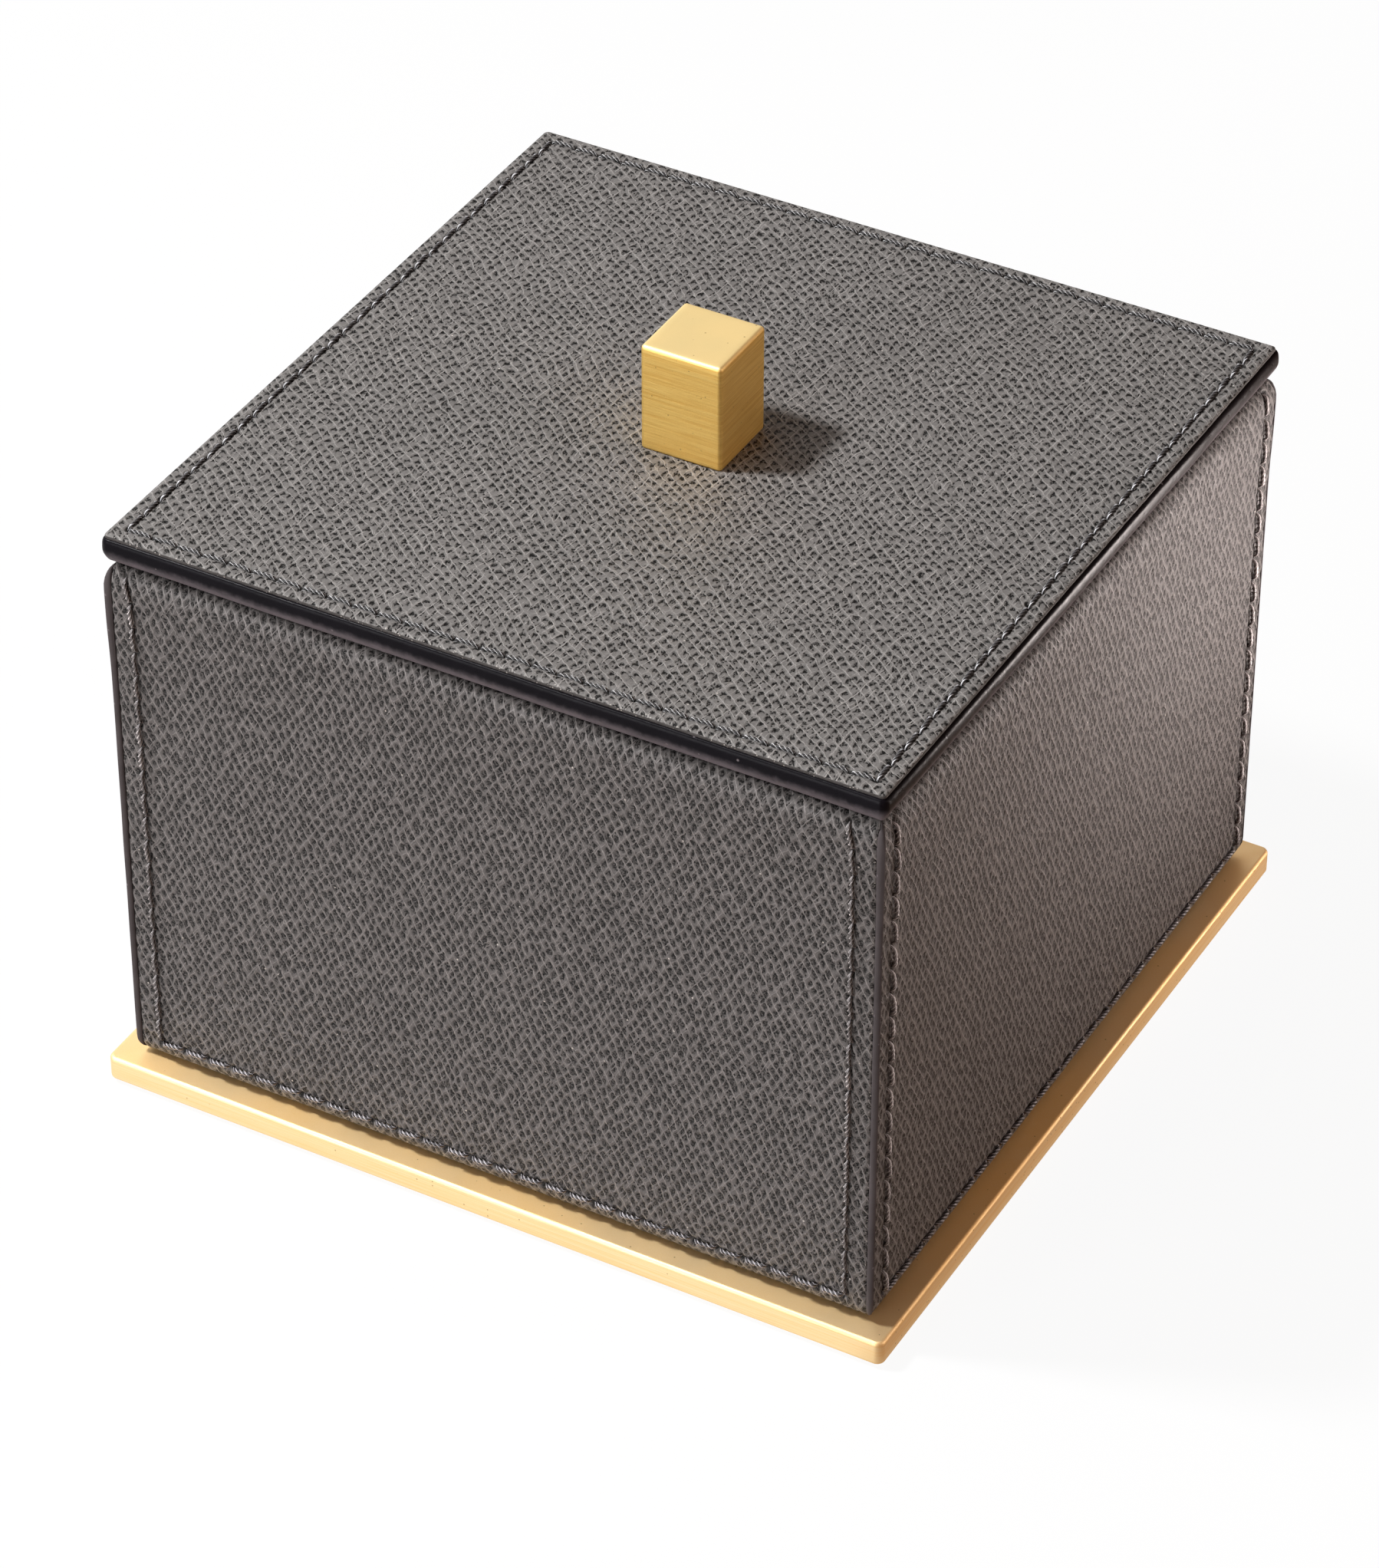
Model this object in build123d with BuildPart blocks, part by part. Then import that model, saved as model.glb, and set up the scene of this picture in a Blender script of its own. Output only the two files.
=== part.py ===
"""Square leather-covered keepsake box with a brass base plate, a lift-off lid and a brass knob.

Millimetres, +Z up, front towards -Y. The origin is the centre of the underside of the felt pad.
"""

import os

from build123d import *

os.makedirs("parts", exist_ok=True)

# Body of the box
BODY_SIZE = 149.0  # over the leather, side to side and front to back
WALL_HEIGHT = 107.0  # from the base plate to the top of the rim
LEATHER = 1.2  # outer leather
BOARD = 5.0  # wall boards
INNER_SKIN = 1.2  # suede lining, and the leather turned in over the rim, pared to lie flush with it
BOTTOM_BOARD = 7.2
FLOOR_LINING = 1.5
TURN_IN = 12.0  # depth of the leather turned in below the rim
FOOT_ROUND = 2.0  # roll of the leather under the wall's foot

# Swell and rounding of the leather at the rim
RIM_SWELL = 0.25  # how far the turned leather stands out past the wall
SWELL_HEIGHT = 26.0  # distance below the rim at which the swell begins
RIM_ROUND_WIDTH = 1.8
RIM_ROUND_HEIGHT = 4.5
RIM_INNER_ROUND = 0.7
ROUND_FULLNESS = 0.45  # share of the rounding left beyond its control points: less is squarer

# Brass base plate and the felt under it
PLATE_LEDGE = 4.0  # how far the plate shows past the walls
PLATE_THICKNESS = 5.0
PLATE_CORNER = 1.6
PLATE_EDGE = 0.7
PAD_THICKNESS = 0.8
PAD_INSET = 4.0

# Wood screws that hold the plate
BASE_SCREW_DIAMETER = 3.5
BASE_SCREW_HEAD = 7.0
BASE_SCREW_LENGTH = 10.0
BASE_SCREW_INSET = 24.0  # from the wall's outside to the screw's centre
BASE_SCREW_SLOT = 0.9
THREAD_FIT = 0.05  # radial clearance of a screw in its hole

# Lid
LID_OVERHANG = 0.5  # how far the lid's edge stands out past the walls
LID_BOARD = 4.4
LID_UNDERLAY = 0.9
LID_LEATHER = 0.9
LEATHER_INSET = 0.7  # from the band's widest line to the top sheet's cut edge
TOP_SHEET_CORNER = 0.2  # least radius of the top sheet's corners
BAND_WIDTH = 3.0
BAND_CORNER = 1.5
BAND_TOP_ROUND = 0.6
BAND_BOTTOM_ROUND = 2.4
LID_SEAT_GAP = 0.3  # between the rim and the lid

# Locating panel under the lid
PLUG_BOARD = 4.2
PLUG_SUEDE = 0.8
PLUG_CLEARANCE = 0.9  # between the suede and the walls, each side
PLUG_CORNER = 1.5

# Knob and what holds it
KNOB_SIZE = 15.8
KNOB_HEIGHT = 21.0
KNOB_BEVEL = 0.5
KNOB_HOLE_DEPTH = 11.5
KNOB_SCREW_DIAMETER = 4.0
KNOB_SCREW_LENGTH = 16.0
KNOB_SCREW_HEAD = 8.0
KNOB_SCREW_HEAD_HEIGHT = 2.6
KNOB_SCREW_SLOT = 1.2
WASHER_DIAMETER = 12.0
WASHER_THICKNESS = 1.0
RECESS_MARGIN = 1.0  # room round the washer in the plug board

# Places worked out from the sizes above
half = BODY_SIZE / 2
board_face = half - LEATHER
inner_board_face = board_face - BOARD
inner_face = inner_board_face - INNER_SKIN
plate_bottom = PAD_THICKNESS
plate_top = plate_bottom + PLATE_THICKNESS
rim_top = plate_top + WALL_HEIGHT
board_bottom = plate_top + LEATHER
board_top = rim_top - LEATHER
floor_board_top = plate_top + BOTTOM_BOARD
lining_top = rim_top - TURN_IN
lid_bottom = rim_top + LID_SEAT_GAP
lid_board_bottom = lid_bottom + LID_UNDERLAY
band_top = lid_board_bottom + LID_BOARD
lid_top = band_top + LID_LEATHER
plug_half = inner_face - PLUG_CLEARANCE
plug_board_half = plug_half - PLUG_SUEDE
plug_board_bottom = lid_bottom - PLUG_BOARD
washer_bottom = lid_bottom - WASHER_THICKNESS
base_screw_spacing = 2 * (half - BASE_SCREW_INSET)
reach = half + RIM_SWELL + LEATHER
lid_size = BODY_SIZE + 2 * LID_OVERHANG
plate_size = BODY_SIZE + 2 * PLATE_LEDGE
pad_size = plate_size - 2 * PAD_INSET
lid_core = lid_size - 2 * BAND_WIDTH
top_sheet = lid_size - 2 * LEATHER_INSET

# Planes whose local X points out of the wall and whose local Y points up
front_section = Plane(origin=(0, -half, 0), x_dir=(0, -1, 0), z_dir=(-1, 0, 0))
right_section = Plane(origin=(half, 0, 0), x_dir=(1, 0, 0), z_dir=(0, -1, 0))


def cover_section(plane):
    """Section of one leather panel: foot, outer face, rim and the part turned in."""
    swell_start = rim_top - SWELL_HEIGHT
    swell_end = rim_top - RIM_ROUND_HEIGHT
    swell_pull = (swell_end - swell_start) / 2
    round_end = RIM_SWELL - RIM_ROUND_WIDTH
    board_inside = -(LEATHER + BOARD)
    skin_inside = board_inside - INNER_SKIN
    with BuildSketch(plane) as section:
        with BuildLine():
            Line((board_inside, plate_top), (-FOOT_ROUND, plate_top))
            RadiusArc((-FOOT_ROUND, plate_top), (0, plate_top + FOOT_ROUND), -FOOT_ROUND)
            Line((0, plate_top + FOOT_ROUND), (0, swell_start))
            Bezier(
                (0, swell_start),
                (0, swell_start + swell_pull),
                (RIM_SWELL, swell_end - swell_pull),
                (RIM_SWELL, swell_end),
            )
            Bezier(
                (RIM_SWELL, swell_end),
                (RIM_SWELL, rim_top - RIM_ROUND_HEIGHT * ROUND_FULLNESS),
                (round_end + RIM_ROUND_WIDTH * ROUND_FULLNESS, rim_top),
                (round_end, rim_top),
            )
            Line((round_end, rim_top), (skin_inside + RIM_INNER_ROUND, rim_top))
            RadiusArc(
                (skin_inside + RIM_INNER_ROUND, rim_top),
                (skin_inside, rim_top - RIM_INNER_ROUND),
                -RIM_INNER_ROUND,
            )
            Polyline(
                (skin_inside, rim_top - RIM_INNER_ROUND),
                (skin_inside, lining_top),
                (board_inside, lining_top),
                (board_inside, board_top),
                (-LEATHER, board_top),
                (-LEATHER, board_bottom),
                (board_inside, board_bottom),
                (board_inside, plate_top),
            )
        make_face()
    return section.sketch


def strip_section(plane, outer, inner, bottom, top):
    """Rectangular section of a board or lining between two depths inside the wall's outer face."""
    with BuildSketch(plane) as section:
        with BuildLine():
            Polyline((-outer, bottom), (-outer, top), (-inner, top), (-inner, bottom), close=True)
        make_face()
    return section.sketch


def front_wedge():
    """Plan of a front piece: cut on the corner diagonals, and square inside the side panels' leather."""
    with BuildSketch(Plane.XY) as plan:
        with BuildLine():
            Polyline(
                (0, 0),
                (board_face, -board_face),
                (board_face, -reach),
                (-board_face, -reach),
                (-board_face, -board_face),
                close=True,
            )
        make_face()
    return plan.sketch


def right_wedge():
    """Plan of a right-hand piece: cut on the corner diagonals, with its leather running past them."""
    with BuildSketch(Plane.XY) as plan:
        with BuildLine():
            Polyline(
                (0, 0),
                (board_face, -board_face),
                (board_face, -half),
                (reach, -half),
                (reach, half),
                (board_face, half),
                (board_face, board_face),
                close=True,
            )
        make_face()
    return plan.sketch


board_depths = (LEATHER, LEATHER + BOARD)
lining_depths = (LEATHER + BOARD, LEATHER + BOARD + INNER_SKIN)
front_board_section = strip_section(front_section, *board_depths, board_bottom, board_top)
right_board_section = strip_section(right_section, *board_depths, board_bottom, board_top)
front_cover_section = cover_section(front_section)
right_cover_section = cover_section(right_section)
front_lining_section = strip_section(front_section, *lining_depths, floor_board_top, lining_top)
right_lining_section = strip_section(right_section, *lining_depths, floor_board_top, lining_top)
front_plan = front_wedge()
right_plan = right_wedge()

# Felt pad under the plate
with BuildPart() as base_pad:
    with BuildSketch(Plane.XY):
        RectangleRounded(pad_size, pad_size, PLATE_CORNER)
    extrude(amount=PAD_THICKNESS)
base_pad.part.label = "base_pad"

# Brass base plate, countersunk from below
with BuildPart() as base_plate:
    with BuildSketch(Plane.XY.offset(plate_bottom)):
        RectangleRounded(plate_size, plate_size, PLATE_CORNER)
    extrude(amount=PLATE_THICKNESS)
    fillet(base_plate.faces().sort_by(Axis.Z)[-1].edges(), radius=PLATE_EDGE)
    fillet(base_plate.faces().sort_by(Axis.Z)[0].edges(), radius=PLATE_EDGE)
    with Locations(Plane(origin=(0, 0, plate_bottom), z_dir=(0, 0, -1))):
        with GridLocations(base_screw_spacing, base_screw_spacing, 2, 2):
            CounterSinkHole(
                radius=BASE_SCREW_DIAMETER / 2 + THREAD_FIT,
                counter_sink_radius=BASE_SCREW_HEAD / 2 + THREAD_FIT,
                depth=PLATE_THICKNESS,
                counter_sink_angle=90,
            )
base_plate.part.label = "base_plate"

# Four countersunk wood screws
with BuildPart() as base_screws:
    with BuildSketch(Plane.XY.offset(plate_bottom)):
        with GridLocations(base_screw_spacing, base_screw_spacing, 2, 2):
            Circle(BASE_SCREW_DIAMETER / 2)
    extrude(amount=BASE_SCREW_LENGTH)
    head_depth = (BASE_SCREW_HEAD - BASE_SCREW_DIAMETER) / 2
    with Locations(Plane.XY.offset(plate_bottom)):
        with GridLocations(base_screw_spacing, base_screw_spacing, 2, 2):
            Cone(
                BASE_SCREW_HEAD / 2,
                BASE_SCREW_DIAMETER / 2,
                head_depth,
                align=(Align.CENTER, Align.CENTER, Align.MIN),
            )
            Box(
                BASE_SCREW_HEAD,
                BASE_SCREW_SLOT,
                head_depth,
                align=(Align.CENTER, Align.CENTER, Align.CENTER),
                mode=Mode.SUBTRACT,
            )
base_screws.part.label = "base_screws"

# Bottom board, inside the walls, with a pilot hole for each screw
with BuildPart() as bottom_board:
    with BuildSketch(Plane.XY.offset(plate_top)):
        Rectangle(2 * inner_board_face, 2 * inner_board_face)
        with GridLocations(base_screw_spacing, base_screw_spacing, 2, 2):
            Circle(BASE_SCREW_DIAMETER / 2 + THREAD_FIT, mode=Mode.SUBTRACT)
    extrude(amount=BOTTOM_BOARD)
bottom_board.part.label = "bottom_board"

# Wall boards, mitred at the corners
with BuildPart() as front_board:
    extrude(front_board_section, amount=board_face, both=True)
    extrude(front_plan, amount=lid_top, mode=Mode.INTERSECT)
front_board.part.label = "front_board"

with BuildPart() as back_board:
    mirror(front_board.part, about=Plane.XZ)
back_board.part.label = "back_board"

with BuildPart() as right_board:
    extrude(right_board_section, amount=board_face, both=True)
    extrude(right_plan, amount=lid_top, mode=Mode.INTERSECT)
right_board.part.label = "right_board"

with BuildPart() as left_board:
    mirror(right_board.part, about=Plane.YZ)
left_board.part.label = "left_board"

# Outer leather panels
with BuildPart() as front_cover:
    extrude(front_cover_section, amount=half, both=True)
    extrude(front_plan, amount=lid_top, mode=Mode.INTERSECT)
front_cover.part.label = "front_cover"

with BuildPart() as back_cover:
    mirror(front_cover.part, about=Plane.XZ)
back_cover.part.label = "back_cover"

with BuildPart() as right_cover:
    extrude(right_cover_section, amount=half, both=True)
    extrude(right_plan, amount=lid_top, mode=Mode.INTERSECT)
right_cover.part.label = "right_cover"

with BuildPart() as left_cover:
    mirror(right_cover.part, about=Plane.YZ)
left_cover.part.label = "left_cover"

# Suede linings of the walls, from the bottom board up to the turned-in leather
with BuildPart() as front_lining:
    extrude(front_lining_section, amount=inner_board_face, both=True)
    extrude(front_plan, amount=lid_top, mode=Mode.INTERSECT)
front_lining.part.label = "front_lining"

with BuildPart() as back_lining:
    mirror(front_lining.part, about=Plane.XZ)
back_lining.part.label = "back_lining"

with BuildPart() as right_lining:
    extrude(right_lining_section, amount=inner_board_face, both=True)
    extrude(right_plan, amount=lid_top, mode=Mode.INTERSECT)
right_lining.part.label = "right_lining"

with BuildPart() as left_lining:
    mirror(right_lining.part, about=Plane.YZ)
left_lining.part.label = "left_lining"

# Suede on the floor, between the wall linings
with BuildPart() as floor_lining:
    with BuildSketch(Plane.XY.offset(floor_board_top)):
        Rectangle(2 * inner_face, 2 * inner_face)
    extrude(amount=FLOOR_LINING)
floor_lining.part.label = "floor_lining"

# Rounded band round the lid's board
with BuildPart() as lid_edge_band:
    with BuildSketch(Plane.XY.offset(lid_bottom)):
        RectangleRounded(lid_size, lid_size, BAND_CORNER)
    extrude(amount=band_top - lid_bottom)
    fillet(lid_edge_band.faces().sort_by(Axis.Z)[-1].edges(), radius=BAND_TOP_ROUND)
    fillet(lid_edge_band.faces().sort_by(Axis.Z)[0].edges(), radius=BAND_BOTTOM_ROUND)
    with BuildSketch(Plane.XY.offset(lid_bottom)):
        Rectangle(lid_core, lid_core)
    extrude(amount=band_top - lid_bottom, mode=Mode.SUBTRACT)
lid_edge_band.part.label = "lid_edge_band"

# Core board and the sheet of leather under it, inside the band
with BuildPart() as lid_board:
    with BuildSketch(Plane.XY.offset(lid_board_bottom)):
        Rectangle(lid_core, lid_core)
        Circle(KNOB_SCREW_DIAMETER / 2 + THREAD_FIT, mode=Mode.SUBTRACT)
    extrude(amount=LID_BOARD)
lid_board.part.label = "lid_board"

with BuildPart() as lid_underlay:
    with BuildSketch(Plane.XY.offset(lid_bottom)):
        Rectangle(lid_core, lid_core)
        Circle(KNOB_SCREW_DIAMETER / 2 + THREAD_FIT, mode=Mode.SUBTRACT)
    extrude(amount=LID_UNDERLAY)
lid_underlay.part.label = "lid_underlay"

# Top sheet of leather
with BuildPart() as lid_leather:
    with BuildSketch(Plane.XY.offset(band_top)):
        RectangleRounded(top_sheet, top_sheet, max(BAND_CORNER - LEATHER_INSET, TOP_SHEET_CORNER))
        Circle(KNOB_SCREW_DIAMETER / 2 + THREAD_FIT, mode=Mode.SUBTRACT)
    extrude(amount=LID_LEATHER)
lid_leather.part.label = "lid_leather"

# Locating panel: a board with a recess for the screw's head, and the suede round it
with BuildPart() as plug_board:
    with BuildSketch(Plane.XY.offset(plug_board_bottom)):
        RectangleRounded(2 * plug_board_half, 2 * plug_board_half, PLUG_CORNER)
        Circle(WASHER_DIAMETER / 2 + RECESS_MARGIN, mode=Mode.SUBTRACT)
    extrude(amount=PLUG_BOARD)
plug_board.part.label = "plug_board"

with BuildPart() as plug_cover:
    with BuildSketch(Plane.XY.offset(plug_board_bottom - PLUG_SUEDE)):
        RectangleRounded(2 * plug_half, 2 * plug_half, PLUG_CORNER + PLUG_SUEDE)
    extrude(amount=PLUG_BOARD + PLUG_SUEDE)
    fillet(plug_cover.faces().sort_by(Axis.Z)[0].edges(), radius=PLUG_SUEDE)
    with BuildSketch(Plane.XY.offset(plug_board_bottom)):
        RectangleRounded(2 * plug_board_half, 2 * plug_board_half, PLUG_CORNER)
    extrude(amount=PLUG_BOARD, mode=Mode.SUBTRACT)
plug_cover.part.label = "plug_cover"

# Knob, tapped from below
with BuildPart() as knob:
    with BuildSketch(Plane.XY.offset(lid_top)):
        Rectangle(KNOB_SIZE, KNOB_SIZE)
    extrude(amount=KNOB_HEIGHT)
    upright_edges = knob.edges().filter_by(Axis.Z)
    top_edges = knob.faces().sort_by(Axis.Z)[-1].edges()
    chamfer(upright_edges + top_edges, length=KNOB_BEVEL)
    with BuildSketch(Plane.XY.offset(lid_top)):
        Circle(KNOB_SCREW_DIAMETER / 2 + THREAD_FIT)
    extrude(amount=KNOB_HOLE_DEPTH, mode=Mode.SUBTRACT)
knob.part.label = "knob"

# Machine screw and washer, hidden in the plug
with BuildPart() as knob_screw:
    with BuildSketch(Plane.XY.offset(washer_bottom)):
        Circle(KNOB_SCREW_DIAMETER / 2)
    extrude(amount=KNOB_SCREW_LENGTH)
    with BuildSketch(Plane.XY.offset(washer_bottom - KNOB_SCREW_HEAD_HEIGHT)):
        Circle(KNOB_SCREW_HEAD / 2)
    extrude(amount=KNOB_SCREW_HEAD_HEIGHT)
    with BuildSketch(Plane.XY.offset(washer_bottom - KNOB_SCREW_HEAD_HEIGHT)):
        Rectangle(KNOB_SCREW_HEAD, KNOB_SCREW_SLOT)
    extrude(amount=KNOB_SCREW_HEAD_HEIGHT / 2, mode=Mode.SUBTRACT)
knob_screw.part.label = "knob_screw"

with BuildPart() as knob_washer:
    with BuildSketch(Plane.XY.offset(washer_bottom)):
        Circle(WASHER_DIAMETER / 2)
        Circle(KNOB_SCREW_DIAMETER / 2 + THREAD_FIT, mode=Mode.SUBTRACT)
    extrude(amount=WASHER_THICKNESS)
knob_washer.part.label = "knob_washer"

pieces = [
    base_pad,
    base_plate,
    base_screws,
    bottom_board,
    front_board,
    back_board,
    left_board,
    right_board,
    front_cover,
    back_cover,
    left_cover,
    right_cover,
    front_lining,
    back_lining,
    left_lining,
    right_lining,
    floor_lining,
    lid_edge_band,
    lid_board,
    lid_underlay,
    lid_leather,
    plug_board,
    plug_cover,
    knob,
    knob_screw,
    knob_washer,
]
for piece in pieces:
    export_step(piece.part, f"parts/{piece.part.label}.step")
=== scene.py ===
"""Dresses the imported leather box: pebbled panels, saddle stitching, painted edges, brass and suede.

Metres, +Z up, front towards -Y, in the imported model's own frame.
"""

import logging
import math
from collections.abc import Iterable, Sequence
from dataclasses import dataclass, field, replace
from enum import Enum

import bmesh
import bpy
import numpy as np
from mathutils import Matrix, Vector


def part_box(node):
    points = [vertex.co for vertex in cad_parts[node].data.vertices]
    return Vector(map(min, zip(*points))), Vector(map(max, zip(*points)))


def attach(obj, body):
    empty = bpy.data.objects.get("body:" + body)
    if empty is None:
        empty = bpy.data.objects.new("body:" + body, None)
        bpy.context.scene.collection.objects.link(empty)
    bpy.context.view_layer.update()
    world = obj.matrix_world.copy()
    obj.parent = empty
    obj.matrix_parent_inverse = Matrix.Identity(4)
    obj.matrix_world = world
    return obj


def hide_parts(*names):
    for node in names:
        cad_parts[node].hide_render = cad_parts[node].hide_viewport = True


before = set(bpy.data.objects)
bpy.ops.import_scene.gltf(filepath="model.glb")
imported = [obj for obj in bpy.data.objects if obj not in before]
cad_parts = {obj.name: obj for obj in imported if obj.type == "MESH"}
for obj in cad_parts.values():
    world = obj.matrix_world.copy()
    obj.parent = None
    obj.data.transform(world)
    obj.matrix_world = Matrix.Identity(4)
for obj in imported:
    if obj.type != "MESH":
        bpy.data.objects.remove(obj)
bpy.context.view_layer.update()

MM = 0.001
UV_NAME = "UVMap"
STITCH_PITCH = 5 * MM
LOG = logging.getLogger("leather_box")

Colour = tuple[float, float, float]
Array = np.ndarray
Socket = bpy.types.NodeSocket
Outputs = bpy.types.NodeOutputs
Material = bpy.types.Material


class Body(Enum):
    """The two bodies that the lift-off lid parts."""

    BOX = "box"
    LID = "lid"


class Side(Enum):
    """A wall, by the quarter turns that bring the front wall to its place."""

    FRONT = 0
    RIGHT = 1
    BACK = 2
    LEFT = 3

    @property
    def label(self) -> str:
        """The wall's name in lower case."""
        return self.name.lower()

    @property
    def lapped(self) -> bool:
        """Whether the neighbours' leather covers this panel's ends."""
        return self in (Side.FRONT, Side.BACK)

    def place(self, points: Array) -> Array:
        """Turns points of the front wall, their last axis being X, Y, Z, to this wall."""
        cos, sin = ((1, 0), (0, 1), (-1, 0), (0, -1))[self.value]
        x, y, z = points[..., 0], points[..., 1], points[..., 2]
        return np.stack([x * cos - y * sin, x * sin + y * cos, z], axis=-1)


class Region(Enum):
    """A named mark that meshes carry for their materials and node trees."""

    GRAIN = "grain"
    # Painted shadow in the stitch grooves and needle holes.
    SEAM = "seam"
    WEAR = "wear"
    CUT_FACE = "cut_face"


# Numbers and curves


def smooth_step(low: float, high: float, value: Array) -> Array:
    """Rises smoothly from 0 at low to 1 at high."""
    share = np.clip((value - low) / (high - low), 0.0, 1.0)
    return share * share * (3.0 - 2.0 * share)


def bump_of(distance: Array, width: float) -> Array:
    """A bell that is 1 at no distance and dies away over width."""
    return np.exp(-((distance / width) ** 2))


def graded(
    start: float, stop: float, step: float, fine: float, centres: Sequence[float], spread: float
) -> Array:
    """Divides a length with closer places near some centres.

    Args:
        start: First place.
        stop: Last place.
        step: Usual distance between places.
        fine: Distance between places near a centre.
        centres: Where the places come closer.
        spread: How far from a centre they stay close.

    Returns:
        The places, both ends among them.
    """
    ruler = np.linspace(start, stop, 6000)
    density = np.full_like(ruler, 1.0 / step)
    for centre in centres:
        near = 1.0 - smooth_step(0.7 * spread, spread, np.abs(ruler - centre))
        density = np.maximum(density, (1.0 / step) + near * (1.0 / fine - 1.0 / step))
    steps = (density[1:] + density[:-1]) / 2 * np.diff(ruler)
    travelled = np.concatenate([[0.0], np.cumsum(steps)])
    count = max(2, int(round(travelled[-1])) + 1)
    return np.interp(np.linspace(0.0, travelled[-1], count), travelled, ruler)


def drift(points: Array, wavelength: float, seed: int) -> Array:
    """A slow, smooth wander over space, as hand work leaves.

    Args:
        points: Coordinates, the last axis being X, Y, Z.
        wavelength: Typical distance between two crests.
        seed: Fixes the pattern.

    Returns:
        Values from about -1 to 1, one for each point.
    """
    generator = np.random.default_rng(seed)
    total = np.zeros(points.shape[:-1])
    waves = 7
    for _ in range(waves):
        direction = generator.normal(size=3)
        length = wavelength * generator.uniform(0.7, 1.6)
        direction *= 2 * math.pi / (length * np.linalg.norm(direction))
        total += np.sin(points @ direction + generator.uniform(0, 2 * math.pi))
    return total / math.sqrt(waves)


def bezier(points: Sequence[tuple[float, float]], count: int) -> Array:
    """Samples a cubic curve with four control points, both ends among the samples."""
    a, b, c, d = (np.array(p, float) for p in points)
    t = np.linspace(0.0, 1.0, count)[:, None]
    return a * (1 - t) ** 3 + 3 * b * t * (1 - t) ** 2 + 3 * c * t**2 * (1 - t) + d * t**3


def arc(centre: tuple[float, float], radius: float, start: float, stop: float, count: int) -> Array:
    """Samples an arc between two angles in degrees."""
    angle = np.radians(np.linspace(start, stop, count))
    x, y = centre
    return np.stack([x + radius * np.cos(angle), y + radius * np.sin(angle)], axis=1)


def hole_marks(x: Array, y: Array, holes: Iterable[Array], width: float) -> Array:
    """Marks the points of a face from 1 in the middle of a needle hole to 0 away from it.

    Args:
        x: First coordinate of each point.
        y: Second coordinate of each point.
        holes: The places of the holes.
        width: How wide a hole's mark is.

    Returns:
        The mark of each point.
    """
    marks = np.zeros_like(x)
    for hole_x, hole_y in holes:
        near = (np.abs(x - hole_x) < 2 * MM) & (np.abs(y - hole_y) < 2 * MM)
        distance = np.hypot(x[near] - hole_x, y[near] - hole_y)
        marks[near] = np.maximum(marks[near], bump_of(distance, width))
    return marks


def grid_quads(index: Array) -> Array:
    """The faces between neighbours in a grid of point numbers."""
    corners = (index[:-1, :-1], index[:-1, 1:], index[1:, 1:], index[1:, :-1])
    return np.stack(corners, axis=-1).reshape(-1, 4)


# Meshes


@dataclass
class Skin:
    """Points and faces of a piece, before they become a mesh."""

    points: Array
    quads: Array
    others: list[Sequence[int]] = field(default_factory=list)
    uv: Array | None = None
    marks: dict[Region, Array] = field(default_factory=dict)
    cut_faces: Array | None = None
    flat_faces: Array | None = None

    def mesh(self, name: str) -> bpy.types.Mesh:
        """Makes the mesh, with its UV map and marks.

        Args:
            name: The mesh's name.

        Returns:
            The new mesh.
        """
        mesh = bpy.data.meshes.new(name)
        loops = np.concatenate([self.quads.ravel(), *[np.asarray(face) for face in self.others]])
        sizes = np.concatenate(
            [np.full(len(self.quads), 4), np.array([len(face) for face in self.others], int)]
        )
        mesh.vertices.add(len(self.points))
        mesh.vertices.foreach_set("co", self.points.astype(np.float32).ravel())
        mesh.loops.add(len(loops))
        mesh.loops.foreach_set("vertex_index", loops.astype(np.int32))
        mesh.polygons.add(len(sizes))
        starts = np.concatenate([[0], np.cumsum(sizes)[:-1]]).astype(np.int32)
        mesh.polygons.foreach_set("loop_start", starts)
        smooth = np.ones(len(sizes), bool)
        if self.flat_faces is not None:
            smooth[self.flat_faces] = False
        mesh.polygons.foreach_set("use_smooth", smooth)
        mesh.update(calc_edges=True)
        if self.uv is not None:
            layer = mesh.uv_layers.new(name=UV_NAME)
            layer.data.foreach_set("uv", self.uv[loops].astype(np.float32).ravel())
        for region, values in self.marks.items():
            attribute = mesh.attributes.new(region.value, "FLOAT", "POINT")
            attribute.data.foreach_set("value", values.astype(np.float32).ravel())
        if self.cut_faces is not None:
            attribute = mesh.attributes.new(Region.CUT_FACE.value, "BOOLEAN", "FACE")
            chosen = np.zeros(len(sizes), bool)
            chosen[self.cut_faces] = True
            attribute.data.foreach_set("value", chosen)
        return mesh


def link(name: str, data: bpy.types.ID) -> bpy.types.Object:
    """Makes an object of a mesh, a lamp or a camera and puts it in the scene."""
    piece = bpy.data.objects.new(name, data)
    bpy.context.scene.collection.objects.link(piece)
    return piece


def settle(piece: bpy.types.Object, body: Body, nodes: Iterable[str] = ()) -> None:
    """Gives a finished piece its body and hides the CAD nodes that it stands for.

    Args:
        piece: The piece, in its place.
        body: The body that carries it.
        nodes: CAD nodes that it replaces.
    """
    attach(piece, body.value)
    if nodes:
        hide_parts(*nodes)
    triangles = sum(len(p.vertices) - 2 for p in piece.data.polygons)
    LOG.info("%s: %d triangles on %s", piece.name, triangles, body.value)


def crease(mesh: bpy.types.Mesh, angle: float) -> None:
    """Shades a mesh smooth except over edges sharper than an angle in degrees."""
    mesh.polygons.foreach_set("use_smooth", np.ones(len(mesh.polygons), bool))
    mesh.set_sharp_from_angle(angle=math.radians(angle))
    mesh.update()


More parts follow.
